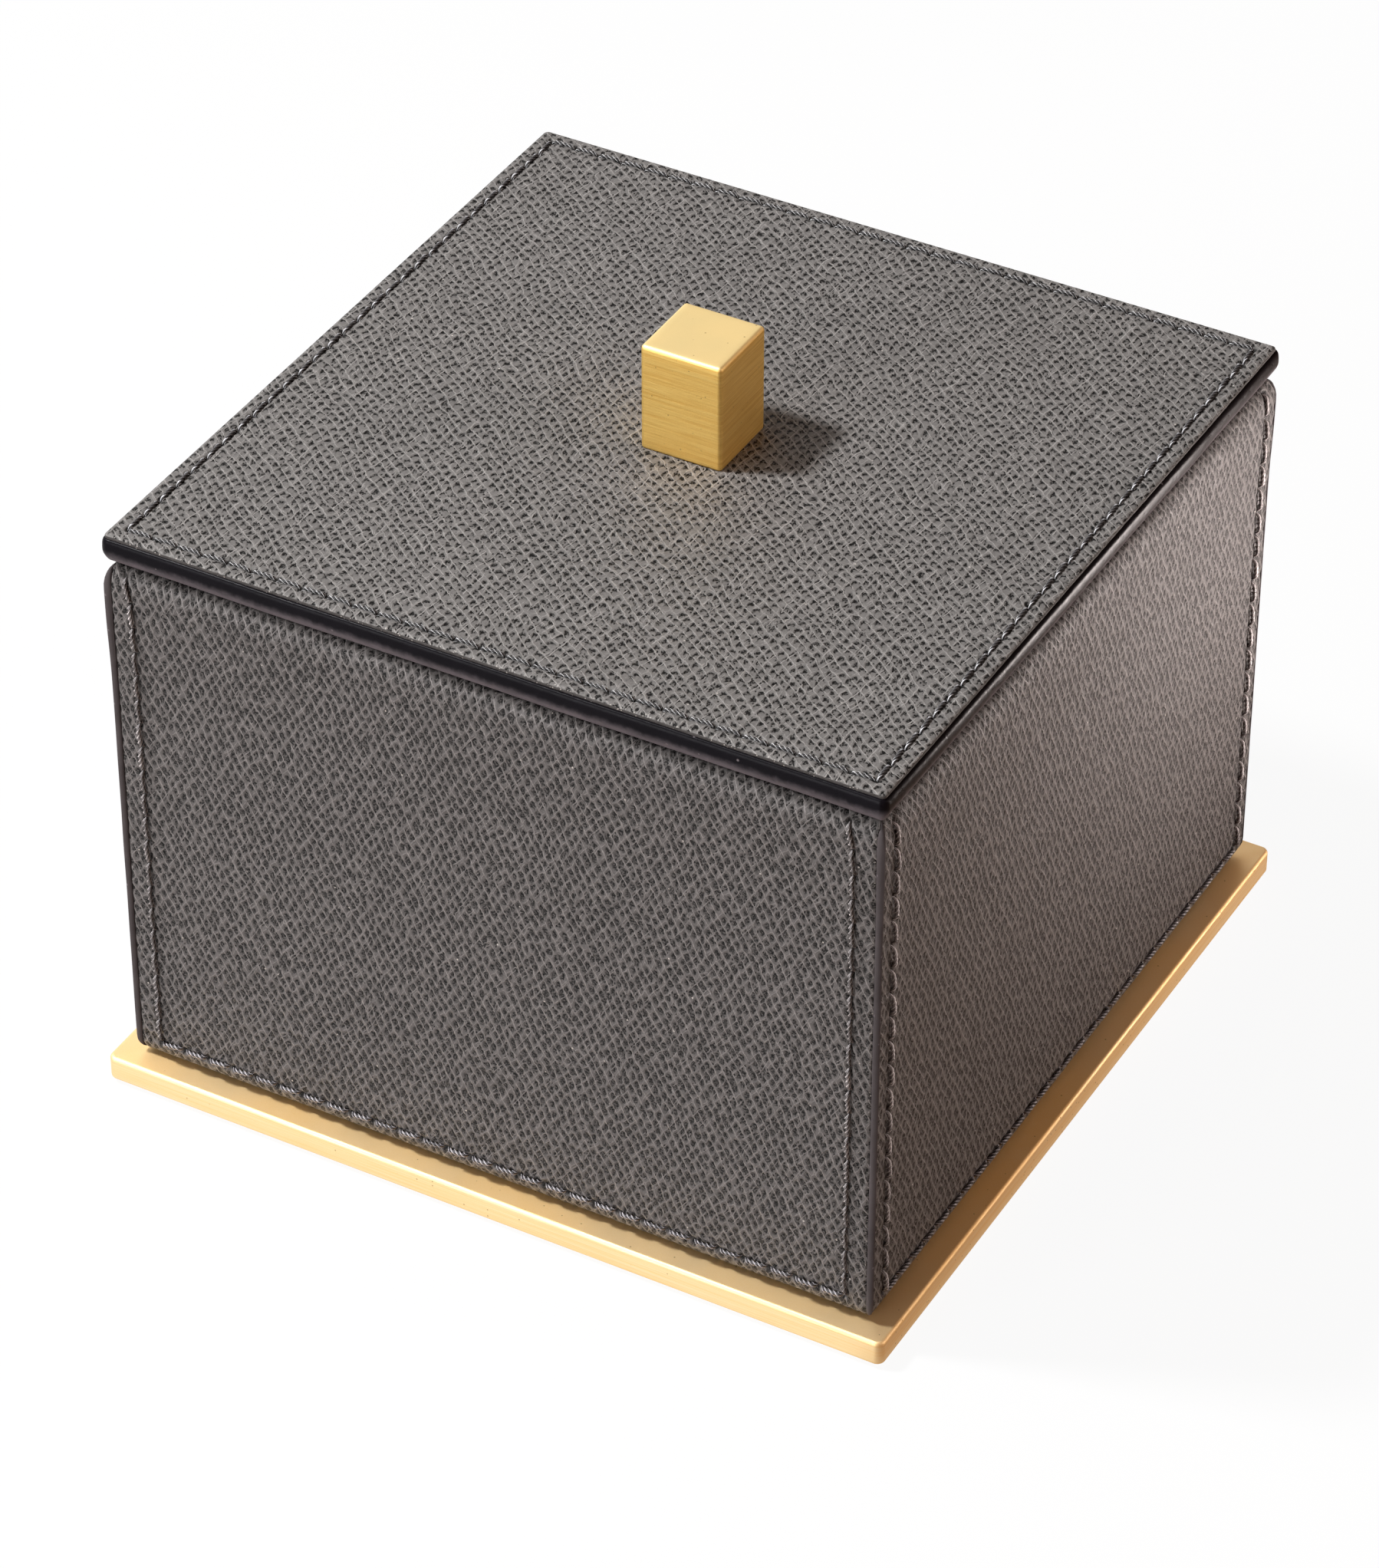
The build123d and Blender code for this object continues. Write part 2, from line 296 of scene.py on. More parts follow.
def finish_skin(
    name: str,
    skin: Skin,
    angle: float,
    material: Material,
    body: Body,
    nodes: Iterable[str] = (),
) -> None:
    """Makes a skin a piece of the box.

    Args:
        name: The piece's name.
        skin: Its points and faces, in place.
        angle: Edges sharper than this many degrees stay sharp.
        material: Its material.
        body: The body that carries it.
        nodes: CAD nodes that it replaces.
    """
    piece = link(name, skin.mesh(name))
    crease(piece.data, angle)
    piece.data.materials.append(material)
    settle(piece, body, nodes)


@dataclass(frozen=True)
class Ring:
    """One level of a lofted piece: a rectangle with rounded corners."""

    half_x: float
    half_y: float
    radius: float
    z: float

    def outline(self, corner_steps: int, side_steps: int) -> Array:
        """The ring's points, anticlockwise from above.

        Args:
            corner_steps: Divisions of each rounded corner.
            side_steps: Divisions of each straight side.

        Returns:
            An array of points.
        """
        radius = min(self.radius, self.half_x, self.half_y)
        corners = []
        for quarter, (sx, sy) in enumerate(((1, -1), (1, 1), (-1, 1), (-1, -1))):
            centre = (sx * (self.half_x - radius), sy * (self.half_y - radius))
            start = 90.0 * quarter - 90.0
            corners.append(arc(centre, radius, start, start + 90.0, corner_steps + 1))
        points = []
        for index, corner in enumerate(corners):
            points.append(corner)
            reach = np.linspace(0, 1, side_steps + 1)[1:-1, None]
            following = corners[(index + 1) % 4][0]
            points.append(corner[-1] + (following - corner[-1]) * reach)
        flat = np.concatenate(points)
        return np.column_stack([flat, np.full(len(flat), self.z)])


def square(half: float, radius: float, z: float) -> Ring:
    """A ring with four equal sides."""
    return Ring(half, half, radius, z)


def eased_rim(
    half_x: float, half_y: float, level: float, ease: float, corner: float, steps: int = 7
) -> list[Ring]:
    """Rounds a rim over.

    Args:
        half_x: Half the width below the rim.
        half_y: Half the depth below the rim.
        level: Height of the face that the rim runs into.
        ease: Radius of the rounding, negative for the rim of a foot.
        corner: Radius of the upright corners.
        steps: How many rings to make.

    Returns:
        The rings from the side to the face.
    """
    rings = []
    for angle in np.linspace(0, math.pi / 2, steps):
        inset = abs(ease) * (1 - math.cos(angle))
        radius = max(corner - inset, 0.1 * MM)
        height = level - ease * (1 - math.sin(angle))
        rings.append(Ring(half_x - inset, half_y - inset, radius, height))
    return rings


def loft(rings: Sequence[Ring], corner_steps: int, side_steps: int, closed: bool = False) -> Skin:
    """Joins rings into a closed skin.

    Args:
        rings: Levels in order, from the underside outwards, up and inwards.
        corner_steps: Divisions of each rounded corner.
        side_steps: Divisions of each straight side.
        closed: Whether the last ring meets the first, as on a band; otherwise both ends are capped.

    Returns:
        The skin.
    """
    levels = [ring.outline(corner_steps, side_steps) for ring in rings]
    index = np.arange(len(levels) * len(levels[0])).reshape(len(levels), -1)
    quads = grid_quads(np.pad(index, ((0, int(closed)), (0, 1)), mode="wrap"))
    caps = [] if closed else [list(index[0, ::-1]), list(index[-1])]
    return Skin(np.concatenate(levels), quads, caps)


# Node trees


class Bench:
    """Adds and joins nodes in one tree, for a shader or for geometry."""

    def __init__(self, tree: bpy.types.NodeTree) -> None:
        """Takes the tree to work on."""
        self.tree = tree

    def add(self, kind: str, inputs: dict | None = None, **settings: object) -> bpy.types.Node:
        """Adds a node.

        Args:
            kind: The node's type.
            inputs: Sockets or plain values for its inputs, by name or number.
            settings: The node's own settings.

        Returns:
            The node.
        """
        node = self.tree.nodes.new(kind)
        for key, value in settings.items():
            setattr(node, key, value)
        for key, value in (inputs or {}).items():
            self.feed(node.inputs[key], value)
        return node

    def feed(self, entry: Socket, value: object) -> None:
        """Links an input to another node's socket or sets it to a plain value."""
        if isinstance(value, Socket):
            self.tree.links.new(value, entry)
        else:
            entry.default_value = value

    def math(self, operation: str, *values: object) -> Socket:
        """Does one sum on numbers."""
        return self.add("ShaderNodeMath", dict(enumerate(values)), operation=operation).outputs[0]

    def times(self, first: object, *others: object) -> Socket:
        """Multiplies numbers in their order."""
        for other in others:
            first = self.math("MULTIPLY", first, other)
        return first

    def rest(self, share: object) -> Socket:
        """What a share leaves of 1."""
        return self.math("SUBTRACT", 1.0, share)

    def parts(self, vector: object) -> Outputs:
        """Splits a vector or a colour into its three numbers."""
        return self.add("ShaderNodeSeparateXYZ", {0: vector}).outputs

    def attribute(self, name: str, kind: str) -> Socket:
        """Reads a named attribute of the geometry."""
        given = {"Name": name}
        node = self.add("GeometryNodeInputNamedAttribute", given, data_type=kind)
        return node.outputs["Attribute"]

    def vector(self, operation: str, *values: object, scale: object = None) -> Socket:
        """Does one sum on vectors."""
        given = dict(enumerate(values))
        if scale is not None:
            given["Scale"] = scale
        return self.add("ShaderNodeVectorMath", given, operation=operation).outputs[0]

    def fade(
        self, value: object, low: object, high: object, start: object = 0.0, end: object = 1.0
    ) -> Socket:
        """Goes smoothly from start to end as a value goes from low to high."""
        given = {0: value, 1: low, 2: high, 3: start, 4: end}
        return self.add("ShaderNodeMapRange", given, interpolation_type="SMOOTHSTEP").outputs[0]

    def blend(self, share: object, first: object, second: object) -> Socket:
        """Blends two colours by a share.

        Args:
            share: How much of the second colour shows.
            first: The colour at 0.
            second: The colour at 1.

        Returns:
            The blended colour.
        """
        given = {0: share}
        for entry, colour in ((6, first), (7, second)):
            linked = isinstance(colour, Socket)
            given[entry] = colour if linked else (*colour, 1.0)
        return self.add("ShaderNodeMix", given, data_type="RGBA").outputs[2]

    def shade(self, colour: object, factor: object) -> Socket:
        """Multiplies a colour by a number that may be above 1."""
        given = colour if isinstance(colour, Socket) else tuple(colour)
        return self.vector("SCALE", given, scale=factor)

    def noise(
        self,
        place: object,
        scale: object,
        detail: float = 2.0,
        roughness: float = 0.5,
        flat: bool = False,
        output: int = 0,
    ) -> Socket:
        """Reads soft noise, over the plane or through space; its second output is a vector."""
        given = {"Vector": place, "Scale": scale, "Detail": detail, "Roughness": roughness}
        dimensions = "2D" if flat else "3D"
        return self.add("ShaderNodeTexNoise", given, noise_dimensions=dimensions).outputs[output]


class TreeKind(Enum):
    """What a node group is for."""

    SHADER = ("ShaderNodeTree", "ShaderNodeGroup")
    GEOMETRY = ("GeometryNodeTree", "GeometryNodeGroup")


def declare(tree: bpy.types.NodeTree, entries: dict[str, str], results: dict[str, str]) -> None:
    """Gives a group's tree its inputs and outputs, each with its socket kind."""
    for way, sockets in (("INPUT", entries), ("OUTPUT", results)):
        for title, kind in sockets.items():
            tree.interface.new_socket(title, in_out=way, socket_type=f"NodeSocket{kind}")


@dataclass(frozen=True)
class Group:
    """A named node group that several materials or trees share."""

    name: str

    def sockets(self) -> tuple[dict[str, str], dict[str, str]]:
        """The group's inputs and outputs with their socket kinds."""
        raise NotImplementedError

    def fill(self, bench: Bench, given: Outputs) -> dict[str, Socket]:
        """Builds the inside and returns what feeds each output.

        Args:
            bench: Adds nodes to the group's tree.
            given: The group's inputs.

        Returns:
            What feeds each output, by its name.
        """
        raise NotImplementedError

    def tree(self, kind: TreeKind = TreeKind.SHADER) -> bpy.types.NodeTree:
        """The group's tree of one kind, built the first time that it is asked for.

        Args:
            kind: The kind of tree.

        Returns:
            The tree.
        """
        name = f"{self.name}_{kind.name.lower()}"
        if name in bpy.data.node_groups:
            return bpy.data.node_groups[name]
        tree = bpy.data.node_groups.new(name, kind.value[0])
        declare(tree, *self.sockets())
        bench = Bench(tree)
        start = bench.add("NodeGroupInput")
        bench.add("NodeGroupOutput", self.fill(bench, start.outputs))
        return tree

    def use(
        self, bench: Bench, values: dict[str, object], kind: TreeKind = TreeKind.SHADER
    ) -> Outputs:
        """Places the group in another tree with its own values and returns its outputs."""
        return bench.add(kind.value[1], values, node_tree=self.tree(kind)).outputs


GRAIN_SOCKETS = {
    "Pitch": "Float",
    "Turn": "Float",
    "Stretch": "Float",
    "Wander": "Float",
    "Cross": "Float",
    # Lean: how far each pit's painted lit side lies towards the light.
    "Lean": "Vector",
    "Core": "Float",
}


@dataclass(frozen=True)
class PebbleGroup(Group):
    """Pebbled grain: staggered soft pits between long thin raised lines and a faint net."""

    name: str = "pebbled_grain"
    bends: tuple[tuple[float, float], ...] = ((0.13, 5.0), (0.45, 1.2), (1.9, 0.9))
    jitter: float = 0.42
    cross_angle: float = 2.09
    cross_scale: float = 0.8
    # Painted light on the pits: the core and the strength of each pit's painted lit side.
    lit_core: float = 0.40
    lit_share: float = 0.9
    dot_scale: float = 2.1
    dot_share: float = 0.34

    def sockets(self) -> tuple[dict[str, str], dict[str, str]]:
        """Where the grain lies, how it runs and how strong its crossing lines are."""
        entries = {"Vector": "Vector", **GRAIN_SOCKETS}
        return entries, {"Height": "Float", "Pit": "Float", "Ridge": "Float"}

    def fill(self, bench: Bench, given: Outputs) -> dict[str, Socket]:
        """Wanders the plane, turns it along the lines, then lays pits, lines and net."""
        small = bench.math("DIVIDE", 1.0, given["Pitch"])
        scaled = bench.vector("SCALE", given["Vector"], scale=small)
        moved = scaled
        for scale, reach in self.bends:
            shift = bench.noise(scaled, scale, 1.0, flat=True, output=1)
            shift = bench.vector("SUBTRACT", shift, (0.5, 0.5, 0.5))
            reach_there = bench.times(given["Wander"], reach)
            moved = bench.vector("ADD", moved, bench.vector("SCALE", shift, scale=reach_there))
        along, across = self._turned(bench, moved, given["Turn"])
        place = self._lattice(bench, along, across, given["Stretch"])
        size = bench.noise(place, 0.8, 1.0, flat=True)
        pit = self._pits(bench, given, moved, place, size)

        broken = bench.fade(bench.noise(moved, 0.75, flat=True), 0.34, 0.56, 0.35, 1.0)
        patchy = bench.fade(bench.noise(moved, 0.4, flat=True), 0.46, 0.62)
        ridge = bench.times(self._lines(bench, across, 0.5 * self.jitter), broken)
        turn = bench.math("ADD", given["Turn"], self.cross_angle)
        crossing = bench.times(self._turned(bench, moved, turn)[1], self.cross_scale)
        cross = bench.times(self._lines(bench, crossing, 0.2), patchy, given["Cross"])
        border = self._cells(bench, place, feature="DISTANCE_TO_EDGE")["Distance"]
        net = bench.fade(border, 0.015, 0.08, 0.6, 0.0)
        net = bench.times(net, bench.fade(size, 0.4, 0.6, 1.0, 0.4))
        ridge = bench.math("MAXIMUM", ridge, bench.math("MAXIMUM", cross, net))
        pit = bench.times(pit, bench.fade(ridge, 0.1, 0.7, 1.0, 0.1))
        height = bench.math("MULTIPLY_ADD", pit, -0.6, 0.6)
        height = bench.math("MULTIPLY_ADD", ridge, 0.3, height)
        return {"Height": height, "Pit": pit, "Ridge": ridge}

    def _pits(
        self, bench: Bench, given: Outputs, moved: Socket, place: Socket, size: Socket
    ) -> Socket:
        """Soft pits with small dots between them; a copy shifted towards the light is taken out of
        each pit as its painted lit side, leaving a crescent of painted shade.

        Args:
            bench: Adds nodes to the group's tree.
            given: The group's inputs.
            moved: The wandering place on the leather.
            place: The same place in steps of one pit.
            size: Noise that varies how far a pit reaches.

        Returns:
            How strongly each place is pitted, painted shade crescents included.
        """
        reach = bench.fade(size, 0.32, 0.68, 0.42, 0.66)
        pit = self._hollow(bench, place, reach, given["Core"])
        # Painted light: the pits, shifted by the lean towards the light, lighten each pit and leave
        # painted shade on its far side.
        shifted = self._turned(bench, bench.vector("ADD", moved, given["Lean"]), given["Turn"])
        lit_place = self._lattice(bench, *shifted, given["Stretch"])
        lit = self._hollow(bench, lit_place, reach, self.lit_core)
        lean = bench.add("ShaderNodeVectorMath", {0: given["Lean"]}, operation="LENGTH")
        shine = bench.fade(lean.outputs["Value"], 0.0, 0.4, 0.0, self.lit_share)
        pit = bench.times(pit, bench.rest(bench.times(lit, shine)))
        ragged = bench.noise(moved, 4.5, 2.0, 0.6, flat=True)
        pit = bench.times(pit, bench.fade(ragged, 0.34, 0.58, 0.40, 1.35))
        cells = self._cells(bench, place, self.dot_scale)
        chosen = bench.math("LESS_THAN", bench.parts(cells["Color"])[0], self.dot_share)
        dots = bench.times(bench.fade(cells["Distance"], 0.06, 0.40, 0.9, 0.0), chosen)
        return bench.math("MAXIMUM", pit, dots)

    @staticmethod
    def _turned(bench: Bench, place: Socket, turn: object) -> list[Socket]:
        """The distances along and across a direction."""
        given = {"Vector": place, "Angle": bench.times(turn, -1.0)}
        turned = bench.add("ShaderNodeVectorRotate", given, rotation_type="Z_AXIS")
        return list(bench.parts(turned.outputs[0]))[:2]

    @staticmethod
    def _lines(bench: Bench, across: Socket, shift: float) -> Socket:
        """Thin lines at equal steps across, halfway between the pits."""
        part = bench.math("FRACT", bench.math("SUBTRACT", across, shift))
        away = bench.math("ABSOLUTE", bench.math("SUBTRACT", part, 0.5))
        return bench.fade(away, 0.01, 0.095, 1.0, 0.0)

    @staticmethod
    def _lattice(bench: Bench, along: Socket, across: Socket, stretch: object) -> Socket:
        """The plane in steps of one pit, neighbouring rows staggered by half a step."""
        step = bench.math("MULTIPLY_ADD", across, 0.5, bench.math("DIVIDE", along, stretch))
        return bench.add("ShaderNodeCombineXYZ", {0: step, 1: across}).outputs[0]

    def _hollow(self, bench: Bench, place: Socket, reach: Socket, core: object) -> Socket:
        """Soft round hollows, 1 over a core that takes a share of their reach."""
        away = self._cells(bench, place)["Distance"]
        return bench.fade(away, bench.times(reach, core), reach, 1.0, 0.0)

    def _cells(
        self, bench: Bench, place: Socket, scale: float = 1.0, feature: str = "F1"
    ) -> Outputs:
        """Cells around scattered points, or the distance to the border between them."""
        given = {"Vector": place, "Scale": scale, "Randomness": self.jitter}
        cells = bench.add("ShaderNodeTexVoronoi", given, voronoi_dimensions="2D", feature=feature)
        return cells.outputs


@dataclass(frozen=True)
class BrushGroup(Group):
    """Fine lines left by an abrasive drawn one way."""

    name: str = "brushed_lines"

    def sockets(self) -> tuple[dict[str, str], dict[str, str]]:
        """Where the metal lies, how long and how fine the lines are; and the lines."""
        return {"Vector": "Vector", "Length": "Float", "Width": "Float"}, {"Lines": "Float"}

    def fill(self, bench: Bench, given: Outputs) -> dict[str, Socket]:
        """Reads noise that is long over the level and narrow over the height."""
        parts = bench.parts(given["Vector"])
        sizes = ("Length", "Length", "Width")
        scaled = {i: bench.math("DIVIDE", parts[i], given[size]) for i, size in enumerate(sizes)}
        place = bench.add("ShaderNodeCombineXYZ", scaled).outputs[0]
        coarse = bench.noise(bench.vector("SCALE", place, scale=0.28), 1.0, 1.0)
        fine = bench.noise(place, 1.0, 3.0, 0.6)
        lines = bench.math("ADD", bench.times(coarse, 0.4), bench.times(fine, 0.6))
        return {"Lines": bench.fade(lines, 0.32, 0.68)}


@dataclass(frozen=True)
class MottleGroup(Group):
    """Slow patches of lighter and darker tone."""

    name: str = "mottle"

    def sockets(self) -> tuple[dict[str, str], dict[str, str]]:
        """Where, how large and how strong the patches are; and the factor to multiply by."""
        return {"Vector": "Vector", "Size": "Float", "Strength": "Float"}, {"Factor": "Float"}

    def fill(self, bench: Bench, given: Outputs) -> dict[str, Socket]:
        """Centres soft noise on 1."""
        scale = bench.math("DIVIDE", 1.0, given["Size"])
        value = bench.noise(given["Vector"], scale, 3.0, 0.55)
        spread = bench.times(bench.math("SUBTRACT", value, 0.5), 2.0)
        return {"Factor": bench.math("MULTIPLY_ADD", spread, given["Strength"], 1.0)}


@dataclass(frozen=True)
class SpeckGroup(Group):
    """Small bright specks, such as dust, pinholes and loose fibres."""

    name: str = "specks"

    def sockets(self) -> tuple[dict[str, str], dict[str, str]]:
        """Where, how far apart and how many of the places hold one; and the specks."""
        return {"Vector": "Vector", "Spacing": "Float", "Share": "Float"}, {"Specks": "Float"}

    def fill(self, bench: Bench, given: Outputs) -> dict[str, Socket]:
        """Draws a dot in a share of the cells."""
        scale = bench.math("DIVIDE", 1.0, given["Spacing"])
        cells = bench.add("ShaderNodeTexVoronoi", {"Vector": given["Vector"], "Scale": scale})
        kept = bench.math("LESS_THAN", bench.parts(cells.outputs["Color"])[0], given["Share"])
        dot = bench.fade(cells.outputs["Distance"], 0.12, 0.26, 1.0, 0.0)
        return {"Specks": bench.times(dot, kept)}


PEBBLES = PebbleGroup()
BRUSHING = BrushGroup()
MOTTLE = MottleGroup()
SPECKS = SpeckGroup()


# Finishes


class Surface:
    """A material on its way: its Principled shader and the sheet of nodes that feeds it."""

    def __init__(self, name: str) -> None:
        """Starts an empty material.

        Args:
            name: The material's name.
        """
        self.material = bpy.data.materials.new(name)
        self.material.use_nodes = True
        tree = self.material.node_tree
        tree.nodes.clear()
        self.bench = Bench(tree)
        self.shader = self.bench.add("ShaderNodeBsdfPrincipled")
        self.bench.add("ShaderNodeOutputMaterial", {"Surface": self.shader.outputs[0]})

    def place(self) -> Socket:
        """Coordinates of the piece itself."""
        return self.bench.add("ShaderNodeTexCoord").outputs["Object"]

    def flat_place(self) -> Socket:
        """Coordinates on the flattened skin, in metres."""
        return self.bench.add("ShaderNodeUVMap", uv_map=UV_NAME).outputs[0]

    def mark(self, region: Region) -> Socket:
        """A mark that the mesh carries."""
        return self.bench.add("ShaderNodeAttribute", attribute_name=region.value).outputs["Fac"]

    def set(self, **values: object) -> None:
        """Feeds or sets the shader's sockets, an underscore standing for a space."""
        for key, value in values.items():
            self.bench.feed(self.shader.inputs[key.replace("_", " ")], value)

    def patches(self, place: object, size: float, strength: float) -> Socket:
        """Slow patches of tone, as a factor about 1."""
        return MOTTLE.use(self.bench, {"Vector": place, "Size": size, "Strength": strength})[0]

    def specks(self, place: object, spacing: float, share: float) -> Socket:
        """Specks in a share of the places that lie a spacing apart."""
        return SPECKS.use(self.bench, {"Vector": place, "Spacing": spacing, "Share": share})[0]

    def fuzz(self, place: object, size: float, detail: float, roughness: float) -> Socket:
        """Noise through space whose lumps have a size."""
        return self.bench.noise(place, 1.0 / size, detail, roughness)

    def relief(self, height: Socket, depth: float) -> None:
        """Feeds the normal from a height between 0 and 1, where 1 measures the depth."""
        given = {"Height": height, "Distance": depth, "Strength": 1.0}
        self.set(Normal=self.bench.add("ShaderNodeBump", given).outputs[0])


@dataclass(frozen=True)
class Grain:
    """How the pebbling of one piece of leather runs."""

    pitch: float = 1.56 * MM
    turn: float = -63.0
    stretch: float = 1.15
    wander: float = 0.20
    cross: float = 0.55
    # lean: how far each pit's painted lit side lies towards the light.
    lean: tuple[float, float, float] = (0.10, 0.18, 0.0)
    core: float = 0.30

    def values(self) -> dict[str, object]:
        """The grain's inputs for the trees, by their names."""
        given = {title: getattr(self, title.lower()) for title in GRAIN_SOCKETS}
        return {**given, "Turn": math.radians(self.turn)}


@dataclass(frozen=True)
class Finish:
    """A named finish that becomes a material."""

    name: str

    def material(self) -> Material:
        """Builds the material."""
        surface = Surface(self.name)
        self.dress(surface, surface.bench)
        return surface.material

    def dress(self, surface: Surface, bench: Bench) -> None:
        """Feeds the shader of a new material.

        Args:
            surface: The new material.
            bench: Adds nodes to its tree.
        """
        raise NotImplementedError


@dataclass(frozen=True)
class LeatherFinish(Finish):
    """Pebbled, pigmented calf, with painted shade darkening its pits and painted highlights paling
    its raised lines.
    """

    grain: Grain
    tone: Colour = (0.126, 0.118, 0.116)
    # Painted light as factors on the tone: shade in the pits, highlight on the raised lines, shadow
    # in the seams.
    pit_shade: float = 0.0
    ridge_shade: float = 2.15
    seam_shade: float = 0.32
    fibre: Colour = (0.58, 0.54, 0.50)
    tuft: float = 0.62 * MM
    dust: float = 0.9 * MM
    patch: float = 24 * MM
    crumb: float = 0.55 * MM
    wrinkle: float = 0.22 * MM
    relief_depth: float = 0.14 * MM

    def dress(self, surface: Surface, bench: Bench) -> None:
        """Paints shade into the pits and the seams and highlights onto the raised lines, and bares
        fibres where it is worn.
        """
        place = surface.flat_place()
        grain = PEBBLES.use(bench, {"Vector": place, **self.grain.values()})
        pit, ridge = grain["Pit"], grain["Ridge"]
        seam = surface.mark(Region.SEAM)
        # Painted light: pits darken, raised lines pale and the seams' grooves and holes darken.
        shade = bench.times(
            bench.fade(pit, 0.0, 0.9, 1.0, self.pit_shade),
            bench.fade(ridge, 0.0, 1.0, 1.0, self.ridge_shade),
            surface.patches(place, self.patch, 0.10),
            surface.patches(place, self.crumb, 0.5),
            bench.fade(seam, 0.10, 0.75, 1.0, self.seam_shade),
        )
        worn = surface.specks(place, self.tuft, 0.75)
        wear = bench.times(surface.mark(Region.WEAR), worn)
        pale = bench.math("MAXIMUM", wear, surface.specks(place, self.dust, 0.006))
        colour = bench.blend(pale, bench.shade(self.tone, shade), self.fibre)
        rough = bench.math("MULTIPLY_ADD", ridge, -0.14, 0.56)
        rough = bench.math("MULTIPLY_ADD", pit, 0.14, rough)
        wrinkles = bench.noise(place, 1.0 / self.wrinkle, 2.0, 0.6, flat=True)
        height = bench.math("MULTIPLY_ADD", wrinkles, 0.12, grain["Height"])
        surface.set(Base_Color=colour, Roughness=rough, Specular_IOR_Level=0.22)
        surface.relief(height, self.relief_depth)


@dataclass(frozen=True)
class CutEdgeFinish(Finish):
    """The raw edge of a leather sheet, with pale fibres standing in it."""

    name: str = "cut_leather_edge"
    tone: Colour = (0.060, 0.054, 0.052)
    fibre: Colour = (0.55, 0.51, 0.48)
    tuft: float = 0.6 * MM
    patch: float = 0.35 * MM
    fuzz: float = 0.2 * MM
    relief_depth: float = 0.15 * MM

    def dress(self, surface: Surface, bench: Bench) -> None:
        """Stands pale tufts in a dark, mottled edge."""
        place = surface.place()
        shaded = bench.shade(self.tone, surface.patches(place, self.patch, 0.6))
        tufts = surface.specks(place, self.tuft, 0.6)
        surface.set(Base_Color=bench.blend(tufts, shaded, self.fibre), Roughness=0.75)
        surface.relief(surface.fuzz(place, self.fuzz, 3.0, 0.7), self.relief_depth)


@dataclass(frozen=True)
class PaintFinish(Finish):
    """Edge paint built up in coats, near black, with a painted reflection paling its lower,
    rounded-under part.
    """

    name: str = "edge_paint"
    tone: Colour = (0.0060, 0.0050, 0.0070)
    # Painted reflection on the lower, rounded-under part of the edge.
    rubbed: Colour = (0.140, 0.124, 0.138)
    dust: Colour = (0.16, 0.14, 0.15)
    turn_height: float = 115.6 * MM
    turn_spread: float = 1.1 * MM
    gloss: float = 0.20
    shine: float = 0.05
    dust_share: float = 0.03
    dust_spacing: float = 1.2 * MM
    drag: float = 1.4 * MM
    sway: float = 1.2 * MM
    patch: float = 6 * MM
    relief_depth: float = 0.06 * MM

    def dress(self, surface: Surface, bench: Bench) -> None:
        """Drags the border of the dark paint unevenly down to the painted reflection below it, and
        dusts the paint.
        """
        place = surface.place()
        drag = surface.fuzz(place, self.drag, 3.0, 0.55)
        uneven = bench.math("SUBTRACT", drag, 0.5)
        height = bench.math("MULTIPLY_ADD", uneven, self.sway, bench.parts(place)[2])
        # Painted light: below the turn the dark paint gives way to a painted reflection.
        low, high = self.turn_height - self.turn_spread, self.turn_height + self.turn_spread
        dark_paint_share = bench.fade(height, low, high)
        colour = bench.blend(dark_paint_share, self.rubbed, self.tone)
        colour = bench.shade(colour, surface.patches(place, self.patch, 0.35))
        specks = surface.specks(place, self.dust_spacing, self.dust_share)
        colour = bench.blend(specks, colour, self.dust)
        rough = bench.math("MULTIPLY_ADD", drag, 0.22, self.gloss)
        rough = bench.math("MULTIPLY_ADD", bench.rest(dark_paint_share), 0.25, rough)
        surface.set(Base_Color=colour, Roughness=rough, Specular_IOR_Level=self.shine)
        surface.relief(drag, self.relief_depth)


@dataclass(frozen=True)
class BrassFinish(Finish):
    """Satin brass, brushed level on its upright faces, its top face painted paler as a highlight."""

    length: float = 9 * MM
    width: float = 0.16 * MM
    tone: Colour = (0.94, 0.68, 0.23)
    deep: Colour = (0.66, 0.39, 0.09)
    # Painted highlight: the paler colour of the top face.
    pale: Colour = (0.90, 0.75, 0.40)
    pale_above: float = 139.6 * MM
    pale_fade: float = 0.7 * MM
    pit: Colour = (0.30, 0.18, 0.06)
    pit_spacing: float = 0.8 * MM
    patch: float = 7 * MM
    stipple: float = 0.22 * MM
    relief_depth: float = 0.014 * MM
    dullness: float = 0.58

    def dress(self, surface: Surface, bench: Bench) -> None:
        """Lays brushed lines, stipple and pits over the metal."""
        place = surface.place()
        given = {"Vector": place, "Length": self.length, "Width": self.width}
        lines = BRUSHING.use(bench, given)[0]
        stipple = surface.fuzz(place, self.stipple, 3.0, 0.6)
        patches = surface.patches(place, self.patch, 0.4)
        share = bench.math("MULTIPLY_ADD", lines, 0.75, bench.times(patches, 0.2))
        share = bench.math("MULTIPLY_ADD", bench.math("SUBTRACT", stipple, 0.5), 0.5, share)
        colour = bench.blend(share, self.deep, self.tone)
        height = bench.parts(place)[2]
        # Painted highlight: the colour pales above a height, on the top face.
        above = bench.fade(height, self.pale_above, self.pale_above + self.pale_fade, 0.0, 0.85)
        colour = bench.blend(above, colour, self.pale)
        pits = surface.specks(place, self.pit_spacing, 0.04)
        colour = bench.blend(bench.times(pits, 0.6), colour, self.pit)
        rough = bench.math("MULTIPLY_ADD", lines, -0.10, self.dullness)
        rough = bench.math("MULTIPLY_ADD", patches, 0.04, rough)
        surface.set(Base_Color=colour, Roughness=rough, Metallic=1.0)
        height = bench.math("SUBTRACT", bench.math("MULTIPLY_ADD", stipple, 0.9, lines), pits)
        surface.relief(height, self.relief_depth)


